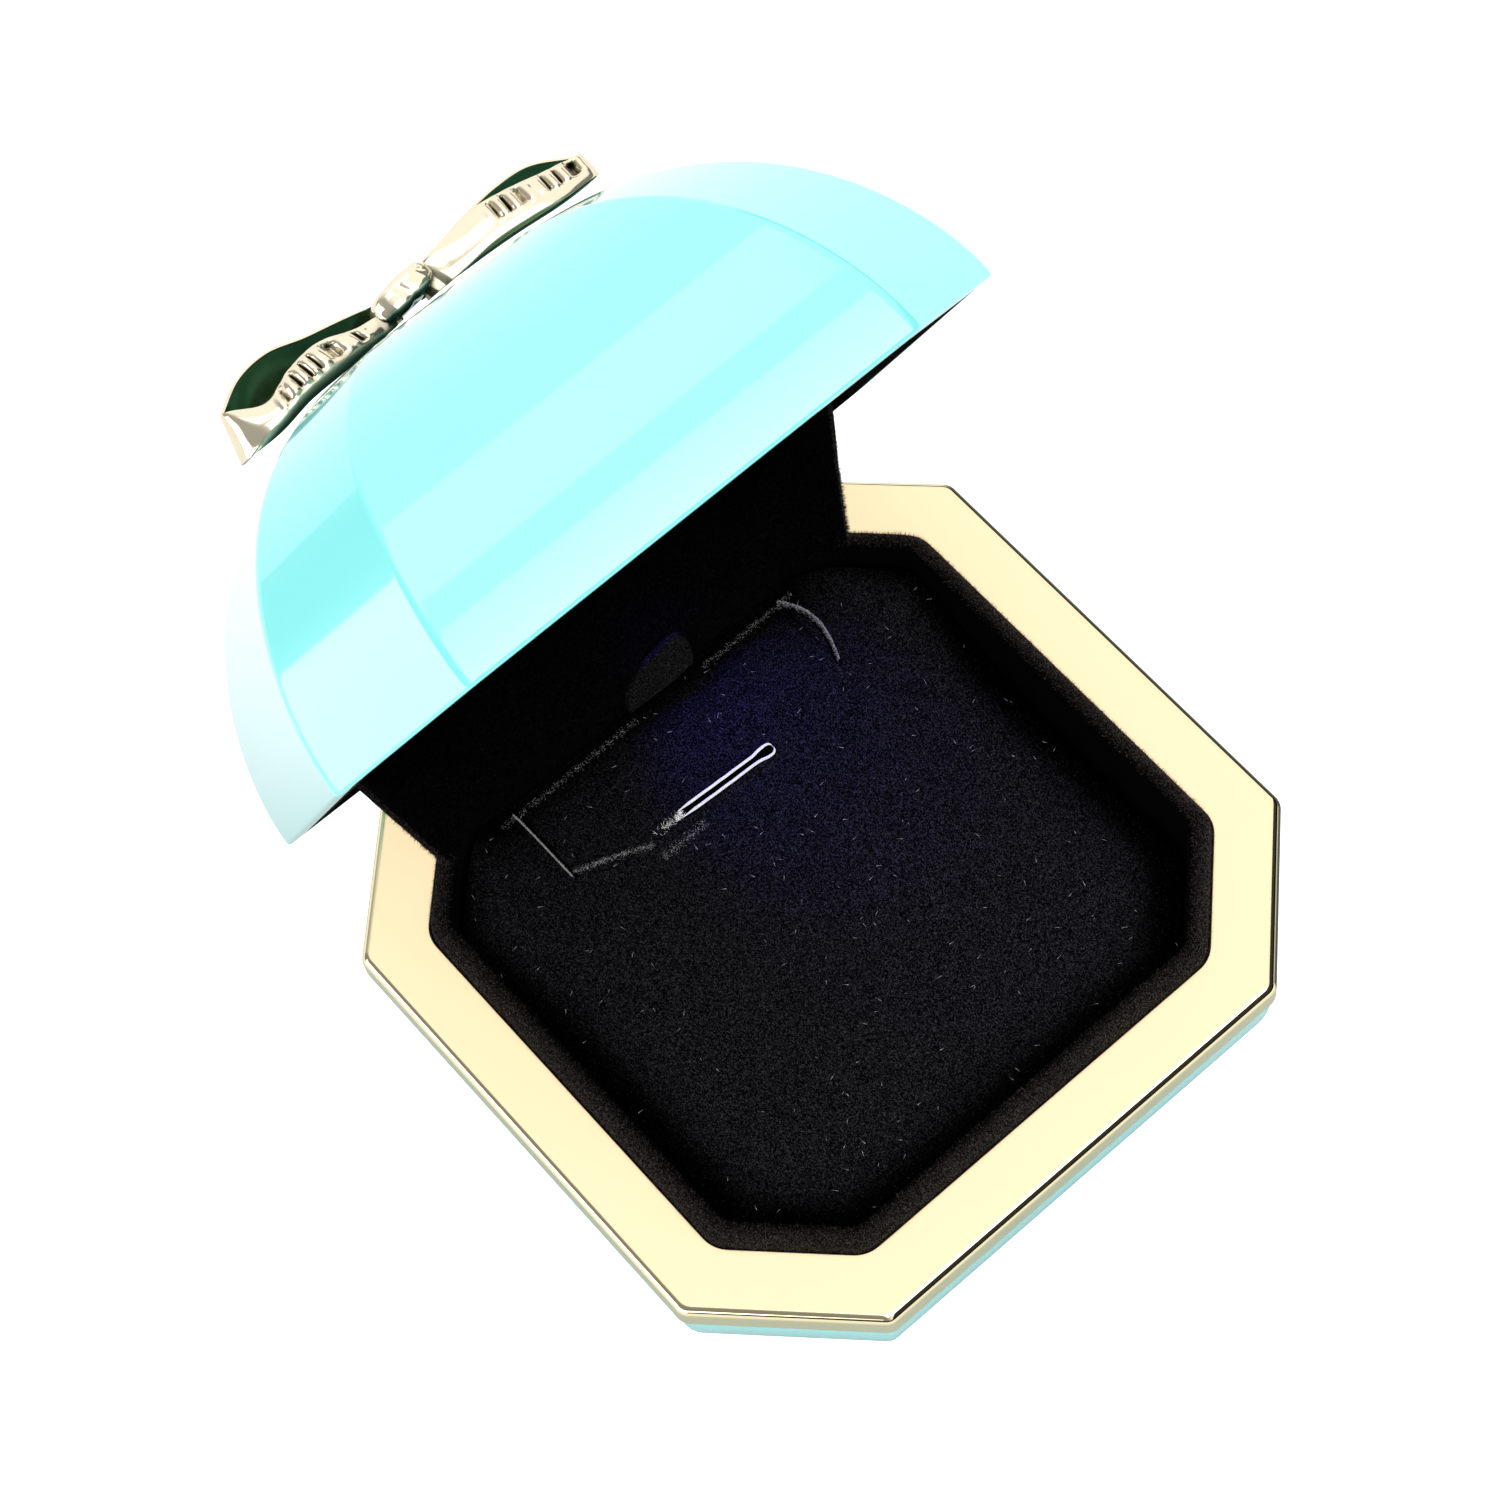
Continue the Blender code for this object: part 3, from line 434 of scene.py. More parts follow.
def octagon(half_x, half_y, chamfer, radius, z, shift_y=0.0):
    near_x, near_y = half_x - chamfer, half_y - chamfer
    corners = (
        (half_x, near_y), (near_x, half_y), (-near_x, half_y), (-half_x, near_y),
        (-half_x, -near_y), (-near_x, -half_y), (near_x, -half_y), (half_x, -near_y),
    )
    reach = radius / cos(pi / 8)
    ring = []
    for index, (x, y) in enumerate(corners):
        facing = index * pi / 4
        middle = facing + pi / 8
        for step in range(CORNER_STEPS + 1):
            angle = facing + pi / 4 * step / CORNER_STEPS
            ring.append((
                x - reach * cos(middle) + radius * cos(angle),
                y - reach * sin(middle) + radius * sin(angle) + shift_y,
                z,
            ))
    return ring


def base_ring(inset, z, radius=None):
    radius = radius or max(1.6 * MM - inset * 0.2, 0.5 * MM)
    return octagon(HALF_WIDTH - inset, HALF_DEPTH - inset, CHAMFER - inset * CHAMFER_SHRINK, radius, z)


def dome_ring(half, height, z):
    share = (1 - (z / height) ** DOME_RISE) ** (1 / DOME_SPREAD)
    radius = 1.6 * MM * (0.25 + 0.75 * share)
    return octagon(half * share, half * share, LID_CHAMFER * half / LID_HALF * share, radius, LID_PLANE + z)


def dome_rings(half, height, top, count=44, low=0.0):
    last = (top / height) ** (DOME_RISE / 2)
    first = (low / height) ** (DOME_RISE / 2)
    start = asin(first / last)
    rings = []
    for step in range(count + 1):
        angle = start + (pi / 2 - start) * step / count
        rings.append(dome_ring(half, height, height * (last * sin(angle)) ** (2 / DOME_RISE)))
    return rings


def loft_mesh(name, rings, looped=False):
    bm = bmesh.new()
    rows = [[bm.verts.new(point) for point in ring] for ring in rings]
    pairs = list(zip(rows, rows[1:]))
    if looped:
        pairs.append((rows[-1], rows[0]))
    else:
        bm.faces.new(rows[0])
        bm.faces.new(rows[-1])
    for low, high in pairs:
        for index in range(len(low)):
            following = (index + 1) % len(low)
            bm.faces.new((low[index], low[following], high[following], high[index]))
    bmesh.ops.recalc_face_normals(bm, faces=bm.faces)
    mesh = bpy.data.meshes.new(name)
    bm.to_mesh(mesh)
    bm.free()
    return mesh


def cut(piece, low, high, radius=None):
    """Boolean away a box, or a cylinder along Z when a radius is given, and apply it."""
    bm = bmesh.new()
    low, high = Vector(low), Vector(high)
    if radius:
        bmesh.ops.create_cone(
            bm, cap_ends=True, segments=64, radius1=radius, radius2=radius, depth=high.z - low.z,
            matrix=Matrix.Translation((low + high) / 2),
        )
    else:
        bmesh.ops.create_cube(bm, size=1, matrix=Matrix.LocRotScale((low + high) / 2, None, high - low))
    mesh = bpy.data.meshes.new("cutter")
    bm.to_mesh(mesh)
    bm.free()
    cutter = bpy.data.objects.new("cutter", mesh)
    bpy.context.scene.collection.objects.link(cutter)
    boolean = piece.modifiers.new("cut", "BOOLEAN")
    boolean.operation = "DIFFERENCE"
    boolean.solver = "EXACT"
    boolean.object = cutter
    apply_modifiers(piece)
    bpy.data.objects.remove(cutter, do_unlink=True)


def wobble(point, scale, amount, seed=0.0):
    """Smooth repeatable offset for hand-laid fabric."""
    place = Vector(point) * scale + Vector((seed, seed * 0.7, -seed))
    return amount * noise.noise(place)


def pile_mesh(name, roots, length, width, spread, seed):
    """Closed three-sided fibres standing on (point, normal) roots."""
    draw = random.Random(seed)
    bm = bmesh.new()
    for point, normal in roots:
        lean = Vector((draw.gauss(0, spread), draw.gauss(0, spread), draw.gauss(0, spread)))
        tip = (normal + lean).normalized() * length * draw.uniform(0.55, 1.15)
        side = tip.orthogonal().normalized() * width * draw.uniform(0.7, 1.2)
        turned = side.copy()
        corners = []
        for turn in range(3):
            turned = Matrix.Rotation(tau / 3 * turn, 3, tip.normalized()) @ side
            corners.append(bm.verts.new(point + turned - tip * 0.25))
        top = bm.verts.new(point + tip)
        bm.faces.new((corners[2], corners[1], corners[0]))
        for turn in range(3):
            bm.faces.new((corners[turn], corners[(turn + 1) % 3], top))
    mesh = bpy.data.meshes.new(name)
    bm.to_mesh(mesh)
    bm.free()
    return mesh


def strip_roots(line, normals, width, density, seed):
    """Fibre roots scattered along a polyline, within a band about it."""
    draw = random.Random(seed)
    roots = []
    for (start, end), (first, second) in zip(zip(line, line[1:]), zip(normals, normals[1:])):
        span = (end - start).length
        count = int(span * density + draw.random())
        for _ in range(count):
            share = draw.random()
            normal = first.lerp(second, share).normalized()
            across = (end - start).normalized().cross(normal)
            place = start.lerp(end, share) + across * draw.uniform(-width, width)
            roots.append((place, normal))
    return roots


# ---------------------------------------------------------------- base

def base_shell():
    wall_top = shell_high.z
    belly_top = BAND_LOW - 0.3 * MM
    proud = shell_high.x - HALF_WIDTH
    wall, depth, inset, floor = 2.6 * MM, belly_top - shell_low.z, 12.0 * MM, 2.0 * MM
    steps = 22
    outer = [
        (-proud + inset * (1 - cos(pi / 2 * step / steps)), belly_top - depth * sin(pi / 2 * step / steps))
        for step in range(steps + 1)
    ]
    inner = [
        (wall - proud + inset * (1 - cos(pi / 2 * step / steps)), belly_top - (depth - floor) * sin(pi / 2 * step / steps))
        for step in range(steps + 1)
    ]
    tongue = 0.5 * MM
    round_edge = 0.15 * MM
    lip = [(-proud + round_edge, belly_top), (-proud, belly_top - round_edge)]
    profile = outer[:0:-1] + lip[::-1] + [(tongue, belly_top), (tongue, wall_top), (wall - proud, wall_top)] + inner
    piece = add_piece("base_lacquer", loft_mesh("base_lacquer", [base_ring(*p) for p in profile]), LACQUER, ["base_shell"])
    notch = 12.6 * MM
    cut(piece, (-notch, 35.6 * MM, PIVOT.z - 2.3 * MM), (notch, HALF_DEPTH + 6 * MM, RIM_TOP + 6 * MM))
    shade(piece, 30)
    weigh_normals(piece)
    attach(piece, "base")


def gold_rim():
    low = BAND_LOW
    plate, inner, lip, bevel = 1.6 * MM, 5.5 * MM, 1.2 * MM, 0.3 * MM
    fillet = [
        (-RIM_EDGE * sin(pi / 2 * step / 8), RIM_TOP - RIM_EDGE * (1 - cos(pi / 2 * step / 8))) for step in range(9)
    ]
    soft = 0.12 * MM
    edge, corner = COLLAR_OUTER - 0.06 * MM, 3.5 * MM
    inner_round = [
        (edge - bevel + bevel * sin(pi / 2 * step / 5), RIM_TOP - bevel * (1 - cos(pi / 2 * step / 5)), corner)
        for step in range(6)
    ]
    profile = fillet + [
        (-RIM_EDGE, low + soft), (-RIM_EDGE + soft, low), (0.2 * MM, low), (0.2 * MM, RIM_TOP - plate),
        (inner - lip, RIM_TOP - plate), (inner - lip, low), (inner, low, corner),
    ] + inner_round[::-1]
    mesh = loft_mesh("rim_gold", [base_ring(*p) for p in profile], looped=True)
    piece = add_piece("rim_gold", mesh, RIM_GOLD, ["gold_rim"])
    notch = 12.6 * MM
    cut(piece, (-notch, 35.6 * MM, low - 2 * MM), (notch, HALF_DEPTH + 6 * MM, RIM_TOP + 6 * MM))
    shade(piece, 30)
    weigh_normals(piece)
    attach(piece, "base")


def tray():
    """Flocked tray with its rounded collar, slightly uneven like stretched velvet."""
    inner = COLLAR_OUTER + COLLAR_WALL
    half_wall = COLLAR_WALL / 2
    floor = liner_low.z + 1.2 * MM
    middle, reach, rise = COLLAR_OUTER + half_wall + 0.05 * MM, half_wall, COLLAR_CREST - RIM_TOP - 0.15 * MM
    crest = []
    for step in range(19):
        angle = pi * step / 18
        side, lift = cos(angle), sin(angle)
        crest.append((middle - reach * abs(side) ** 0.9 * (1 if side > 0 else -1), RIM_TOP + 0.15 * MM + rise * lift**0.8))
    heights = [liner_low.z + (RIM_TOP - 0.1 * MM - liner_low.z) * step / 6 for step in range(7)]
    wall = [(inner, crest[-1][1] + (floor - crest[-1][1]) * step / 6) for step in range(1, 7)]
    profile = [(COLLAR_OUTER, z) for z in heights] + crest + wall
    rings = []
    for inset, z in profile:
        ring = []
        base = base_ring(inset, z, 3.6 * MM - (inset - COLLAR_OUTER) * 0.35)
        for start, end in zip(base, base[1:] + base[:1]):
            start, end = Vector(start), Vector(end)
            cuts = max(1, round((end - start).length / (1.4 * MM)))
            ring.append((start, end, cuts))
        rings.append(ring)
    counts = [item[2] for item in rings[0]]
    fine = []
    for ring in rings:
        points = []
        for (start, end, _), count in zip(ring, counts):
            points += [start.lerp(end, step / count) for step in range(count)]
        fine.append([
            p + Vector((wobble(p, 260, 0.10 * MM), wobble(p, 240, 0.10 * MM, 3), wobble(p, 150, 0.10 * MM, 7)))
            if p.z > floor else p
            for p in points
        ])
    piece = add_piece("tray_velvet", loft_mesh("tray_velvet", fine), COLLAR_VELVET, ["base_liner"])
    cut(piece, (-27.2 * MM, 26.2 * MM, PAD_TOP - 4.0 * MM), (27.2 * MM, HALF_DEPTH, COLLAR_CREST + 5 * MM))
    shade(piece, 50)
    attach(piece, "base")

    crest_line = [Vector(p) for p in base_ring(COLLAR_OUTER + half_wall, COLLAR_CREST, 3.2 * MM)]
    crest_line.append(crest_line[0])
    roots = []
    draw = random.Random(5)
    for start, end in zip(crest_line, crest_line[1:]):
        along = (end - start).normalized()
        outward = along.cross(Vector((0, 0, 1)))
        for _ in range(int((end - start).length / MM * 70)):
            place = start.lerp(end, draw.random())
            if place.y > 26.2 * MM and abs(place.x) < 27.2 * MM:
                continue
            angle = draw.uniform(-0.22, 0.50) * pi
            normal = outward * sin(angle) + Vector((0, 0, 1)) * cos(angle)
            spot = Vector((place.x, place.y, RIM_TOP + 0.15 * MM)) - outward * 0.05 * MM
            spot += outward * sin(angle) * (reach - 0.02 * MM) + Vector((0, 0, 1)) * rise * max(0.0, cos(angle)) ** 0.85
            roots.append((spot, normal))
    pile = add_piece("collar_pile", pile_mesh("collar_pile", roots, 0.55 * MM, 0.032 * MM, 0.42, 8), PILE)
    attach(pile, "base")


def foot():
    inset = 12.8 * MM
    edge = 0.2 * MM
    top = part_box("foot_pad")[1].z
    rings = [base_ring(inset + edge, 0), base_ring(inset, edge), base_ring(inset, top - edge), base_ring(inset + edge, top)]
    piece = add_piece("foot_felt", loft_mesh("foot_felt", rings), FELT, ["foot_pad"])
    shade(piece, 50)
    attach(piece, "base")


# ---------------------------------------------------------------- pad

SLOT = Vector((0.9, 17.0)) * MM
SLOT_HALF = 6.2 * MM
TAB_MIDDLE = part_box("pull_tab")[0].lerp(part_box("pull_tab")[1], 0.5) + Vector((1.2, 0.25, 0)) * MM
SLOT_TURN = -0.058
SLITS = {-1: -17.8 * MM, 1: 19.2 * MM}
SLIT_FRONT = 19.7 * MM
PAD_TRIM = 0.2 * MM


def pad_depths(x, y):
    """How far inside the pad's octagon a point lies, from its nearest side and from its nearer rear chamfer."""
    inset = COLLAR_OUTER + COLLAR_WALL + 0.3 * MM
    half_x, half_y = HALF_WIDTH - inset, HALF_DEPTH - inset - PAD_TRIM
    chamfer = CHAMFER - inset * CHAMFER_SHRINK
    y = y + PAD_TRIM
    diagonal = (half_x + half_y - chamfer - abs(x) - abs(y)) / sqrt(2)
    rear = (half_x + half_y - chamfer - abs(x) - y) / sqrt(2)
    return min(half_x - abs(x), half_y - abs(y), diagonal), rear


def groove(distance, width, depth):
    return -depth * exp(-((distance / width) ** 4))


def eased(value, low, high):
    share = min(1, max(0, (value - low) / (high - low)))
    return share * share * (3 - 2 * share)


def slit_line(side, y):
    """The slits run straight back; the right one bows outwards on its way."""
    share = (y - SLIT_FRONT) / (PAD_REAR + 1 * MM - SLIT_FRONT)
    share = min(1, max(0, share))
    bow = (1.5 * sin(pi * share) - 1.0 * share**3) * MM if side > 0 else 0.0
    return SLITS[side] + bow


def pad_height(x, y):
    """Height of the velvet over the foam, relative to the pad's flat top."""
    edge, rear = pad_depths(x, y)
    edge = max(0, edge)
    drop = (3.0 - 2.2 * eased(y, 6 * MM, 27 * MM)) * MM
    height = -drop * exp(-((edge / (2.1 * MM)) ** 1.4))
    height += 3.8 * MM * exp(-((max(0, rear) / (8.0 * MM)) ** 2)) * eased(abs(x), 20.5 * MM, 26 * MM)
    height += wobble((x, y, 0), 55, 0.15 * MM) + wobble((x, y, 0), 210, 0.04 * MM, 4)
    inside = SLITS[-1] < x < SLITS[1] and y > SLIT_FRONT - 2 * MM
    height -= 0.40 * MM * eased(y, SLIT_FRONT, SLIT_FRONT + 5 * MM) if inside else 0.0
    if y > SLIT_FRONT - 0.3 * MM:
        for side in (-1, 1):
            line = slit_line(side, y)
            height += groove(x - line, 0.20 * MM, 0.9 * MM)
            height += 0.25 * MM * exp(-(((x - line - side * 0.5 * MM) / (0.45 * MM)) ** 2))
    crease_x = (x + 13.4 * MM) / (4.2 * MM)
    if abs(crease_x) < 1:
        line = 18.4 * MM - 1.7 * MM * crease_x
        height += 0.22 * MM * exp(-(((y - line) / (0.40 * MM)) ** 2)) * (1 - crease_x**2)
    across = y - SLOT.y - SLOT_TURN * (x - SLOT.x)
    past = max(0, abs(x - SLOT.x) - SLOT_HALF + 0.4 * MM)
    near = sqrt(past**2 + across**2)
    bulb = 0.16 * MM * eased(x, SLOT.x + SLOT_HALF - 2 * MM, SLOT.x + SLOT_HALF - 0.6 * MM)
    height += groove(near, 0.42 * MM + bulb, 2.6 * MM)
    height += 0.30 * MM * exp(-(((near - 0.95 * MM) / (0.45 * MM)) ** 2))
    return height


def spaced(low, high, step, fine):
    """Grid lines from low to high, closer together near the (centre, reach, spacing) marks."""
    lines, place = [], low
    while place < high:
        lines.append(place)
        size = step
        for centre, reach, spacing in fine:
            away = max(0, abs(place - centre) - reach)
            size = min(size, spacing + away * 0.6)
        place += size
    lines.append(high)
    return lines


def pad():
    """Crowned velvet pad: a height field over the foam, trimmed to the tray's octagon."""
    low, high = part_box("pad_cover")
    foam_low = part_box("pad_foam")[0].z
    xs = spaced(low.x - MM, high.x + MM, 0.85 * MM, [
        (SLITS[-1], 0.8 * MM, 0.11 * MM), (SLITS[1] + 0.3 * MM, 1.5 * MM, 0.13 * MM),
        (SLOT.x - SLOT_HALF, 0.5 * MM, 0.18 * MM), (SLOT.x + SLOT_HALF, 0.5 * MM, 0.18 * MM),
        (low.x, 1.6 * MM, 0.35 * MM), (high.x, 1.6 * MM, 0.35 * MM),
    ])
    ys = spaced(low.y - MM, high.y + MM, 0.85 * MM, [
        (SLOT.y, 1.5 * MM, 0.10 * MM), (SLIT_FRONT, 0.3 * MM, 0.15 * MM), (SLIT_FRONT + 0.6 * MM, 3 * MM, 0.4 * MM),
        (low.y, 1.6 * MM, 0.35 * MM), (high.y, 1.6 * MM, 0.35 * MM),
    ])
    bm = bmesh.new()
    top = [[bm.verts.new((x, y, PAD_TOP + pad_height(x, y))) for y in ys] for x in xs]
    for i in range(len(xs) - 1):
        for j in range(len(ys) - 1):
            bm.faces.new((top[i][j], top[i + 1][j], top[i + 1][j + 1], top[i][j + 1]))
    rim = [edge for edge in bm.edges if edge.is_boundary]
    made = bmesh.ops.extrude_edge_only(bm, edges=rim)["geom"]
    lowered = [item for item in made if isinstance(item, bmesh.types.BMVert)]
    for vert in lowered:
        vert.co.z = foam_low
    bmesh.ops.holes_fill(bm, edges=[edge for edge in bm.edges if edge.is_boundary], sides=0)
    bmesh.ops.recalc_face_normals(bm, faces=bm.faces)
    mesh = bpy.data.meshes.new("pad_velvet")
    bm.to_mesh(mesh)
    bm.free()
    piece = add_piece("pad_velvet", mesh, PAD_VELVET, ["pad_cover", "pad_foam"])
    inset = COLLAR_OUTER + COLLAR_WALL + 0.3 * MM
    rings = [
        octagon(
            HALF_WIDTH - inset, HALF_DEPTH - inset - PAD_TRIM, CHAMFER - inset * CHAMFER_SHRINK, 3.0 * MM, z, -PAD_TRIM
        )
        for z in (foam_low + 0.02 * MM, PAD_TOP + 3 * MM)
    ]
    form = bpy.data.objects.new("pad_form", loft_mesh("pad_form", rings))
    bpy.context.scene.collection.objects.link(form)
    trim = piece.modifiers.new("trim", "BOOLEAN")
    trim.operation = "INTERSECT"
    trim.solver = "EXACT"
    trim.object = form
    apply_modifiers(piece)
    bpy.data.objects.remove(form, do_unlink=True)
    shade(piece, 60)
    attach(piece, "pad")
    slot_lips()
    pad_lint()


def slot_lips():
    """Pale pile round the ring slot, open at its left end, and along the slits, glowing with painted light."""
    bm = bmesh.new()
    rows = []
    straight, turn_steps = 60, 14
    path = [(-1, share / straight) for share in range(straight)]
    path += [(None, step / turn_steps) for step in range(turn_steps + 1)]
    path += [(1, 1 - share / straight) for share in range(1, straight + 1)]
    for side, share in path:
        swell = 0.46 * MM + 0.20 * MM * eased(share if side else 1, 0.84, 0.97)
        if side:
            along_slot = (share * 2 - 1) * (SLOT_HALF - 0.35 * MM)
            out = side * swell
        else:
            along_slot = SLOT_HALF - 0.35 * MM + swell * sin(pi * share)
            out = -swell * cos(pi * share)
        x = SLOT.x + along_slot
        y = SLOT.y + SLOT_TURN * along_slot + out + wobble((x, out, 0), 900, 0.03 * MM)
        lift = 0.95 / 0.5 * out
        z = PAD_TOP + pad_height(x, SLOT.y + SLOT_TURN * along_slot + lift) + 0.03 * MM
        radius = 0.17 * MM * (0.3 + 0.7 * min(1, share * 8 if side else 1))
        if side is None:
            radius *= 0.85
        rows.append([
            bm.verts.new(Vector((x, y + radius * cos(tau * turn / 8), z + radius * sin(tau * turn / 8))))
            for turn in range(8)
        ])
    bm.faces.new(rows[0])
    bm.faces.new(rows[-1])
    for first, second in zip(rows, rows[1:]):
        for turn in range(8):
            bm.faces.new((first[turn], first[(turn + 1) % 8], second[(turn + 1) % 8], second[turn]))
    bmesh.ops.recalc_face_normals(bm, faces=bm.faces)
    mesh = bpy.data.meshes.new("slot_lip")
    bm.to_mesh(mesh)
    bm.free()
    lip = add_piece("slot_lip", mesh, SLOT_LIP)
    shade(lip, 60)
    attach(lip, "pad")
    draw = random.Random(12)
    roots = []
    for _ in range(150):
        along_slot = -SLOT_HALF - abs(draw.gauss(0, 1.5)) * MM + 0.6 * MM
        place = Vector((SLOT.x + along_slot, SLOT.y + SLOT_TURN * along_slot + draw.gauss(0, 0.28) * MM, 0))
        place.z = PAD_TOP + pad_height(place.x, place.y + 0.9 * MM) + 0.02 * MM
        roots.append((place, Vector((draw.gauss(-0.4, 0.7), draw.gauss(0, 0.7), 0.5)).normalized()))
    fray = add_piece("slot_fray", pile_mesh("slot_fray", roots, 0.50 * MM, 0.030 * MM, 0.5, 4), SLOT_LIP)
    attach(fray, "pad")
    # Painted highlight: pale pile along the slits, a crease and the pad's rear edge stands in for light caught there.
    roots = []
    for side in (-1, 1):
        for _ in range(1500):
            y = draw.uniform(SLIT_FRONT, PAD_REAR - 0.2 * MM)
            x = slit_line(side, y) + side * draw.uniform(0.10, 0.36) * MM
            roots.append((Vector((x, y, PAD_TOP + pad_height(x, y))), Vector((-side * 0.5, 0, 1)).normalized()))
    for _ in range(900):
        crease_x = draw.uniform(-1, 1)
        x = -13.4 * MM + crease_x * 4.2 * MM
        y = 18.4 * MM - 1.7 * MM * crease_x + draw.gauss(0, 0.22) * MM
        if draw.random() < 0.35:
            x, y = draw.uniform(-9.6, -3.5) * MM, (14.9 + draw.gauss(0, 0.3)) * MM
        roots.append((Vector((x, y, PAD_TOP + pad_height(x, y))), Vector((0, -0.4, 1)).normalized()))
    for _ in range(1100):
        x = draw.uniform(-20, 21) * MM
        y = PAD_REAR - abs(draw.gauss(0.5, 0.25)) * MM
        if abs(x - TAB_MIDDLE.x) < 4.6 * MM:
            continue
        roots.append((Vector((x, y, PAD_TOP + pad_height(x, y))), Vector((0, -0.5, 1)).normalized()))
    cuts = add_piece("slit_pile", pile_mesh("slit_pile", roots, 0.24 * MM, 0.022 * MM, 0.5, 6), SLIT_PILE)
    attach(cuts, "pad")


def pad_lint():
    """Pile grain and a few stray fibres on the pad."""
    draw = random.Random(21)
    low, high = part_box("pad_cover")
    roots, strays = [], []
    while len(roots) < 24000:
        x, y = draw.uniform(low.x, high.x), draw.uniform(low.y, high.y)
        if pad_depths(x, y)[0] < 0.3 * MM:
            continue
        if abs(y - SLOT.y) < 0.6 * MM and abs(x - SLOT.x) < SLOT_HALF:
            continue
        height = pad_height(x, y)
        slope = Vector((
            (pad_height(x - 0.1 * MM, y) - pad_height(x + 0.1 * MM, y)) / (0.2 * MM),
            (pad_height(x, y - 0.1 * MM) - pad_height(x, y + 0.1 * MM)) / (0.2 * MM),
            1,
        )).normalized()
        roots.append((Vector((x, y, PAD_TOP + height)), slope))
        if len(roots) % 130 == 0:
            strays.append((Vector((x, y, PAD_TOP + height + 0.2 * MM)), Vector((draw.gauss(0, 1), draw.gauss(0, 1), 0.15)).normalized()))
    pile = add_piece("pad_pile", pile_mesh("pad_pile", roots, 0.34 * MM, 0.030 * MM, 0.9, 31), PAD_PILE)
    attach(pile, "pad")
    lint = add_piece("pad_lint", pile_mesh("pad_lint", strays, 0.55 * MM, 0.028 * MM, 0.2, 33), SLIT_PILE)
    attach(lint, "pad")


def tab_point(across, rise):
    """Place on the tab: across from -1 (left) to 1 (right), rise from 0 (foot) to 1 (free edge)."""
    crown = (5.2 + 1.1 * across) * MM * (1 - abs(across) ** 3.2) ** (1 / 2.2)
    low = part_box("pull_tab")[0].z
    height = (PAD_TOP + crown - low) * rise
    above = max(0.0, low + height - PAD_TOP)
    return Vector((
        TAB_MIDDLE.x + across * 4.4 * MM + 0.10 * above,
        TAB_MIDDLE.y + 0.16 * above + 0.35 * MM * across**2,
        low + height,
    ))


def pull_tab():
    """Rounded tongue of velvet-covered card standing behind the pad."""
    across, up = 40, 22
    bm = bmesh.new()
    rows = []
    for row in range(up + 1):
        points = []
        for column in range(across + 1):
            point = tab_point(sin((column / across * 2 - 1) * pi / 2), row / up)
            points.append(bm.verts.new(point + Vector((0, wobble(point, 500, 0.10 * MM), 0))))
        rows.append(points)
    for first, second in zip(rows, rows[1:]):
        for column in range(across):
            bm.faces.new((first[column], first[column + 1], second[column + 1], second[column]))
    mesh = bpy.data.meshes.new("tab_velvet")
    bm.to_mesh(mesh)
    bm.free()
    piece = add_piece("tab_velvet", mesh, TAB_VELVET, ["pull_tab"])
    solid = piece.modifiers.new("thickness", "SOLIDIFY")
    solid.thickness = 0.7 * MM
    solid.offset = 0
    apply_modifiers(piece)
    shade(piece, 70)
    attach(piece, "pad")
    edge = [tab_point(sin((step / 30 - 1) * pi / 2), 1) for step in range(61)]
    middle = Vector((TAB_MIDDLE.x, TAB_MIDDLE.y, PAD_TOP))
    roots = strip_roots(edge, [(point - middle).normalized() for point in edge], 0.34 * MM, 60 / MM, 15)
    draw = random.Random(19)
    for _ in range(900):
        point = tab_point(draw.uniform(-0.97, 0.97), draw.uniform(0.5, 0.98)) - Vector((0, 0.33 * MM, 0))
        roots.append((point, Vector((draw.gauss(0, 0.3), -1, 0.5)).normalized()))
    pile = add_piece("tab_pile", pile_mesh("tab_pile", roots, 0.42 * MM, 0.028 * MM, 0.35, 16), PAD_PILE)
    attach(pile, "pad")


# ---------------------------------------------------------------- curtain

def along(points, share):
    lengths = [(b - a).length for a, b in zip(points, points[1:])]
    left = share * sum(lengths)
    for start, end, length in zip(points, points[1:], lengths):
        if left <= length:
            return start.lerp(end, left / length)
        left -= length
    return points[-1].copy()


def mirrored(points):
    return [Vector((-p.x, p.y, p.z)) for p in reversed(points)] + points


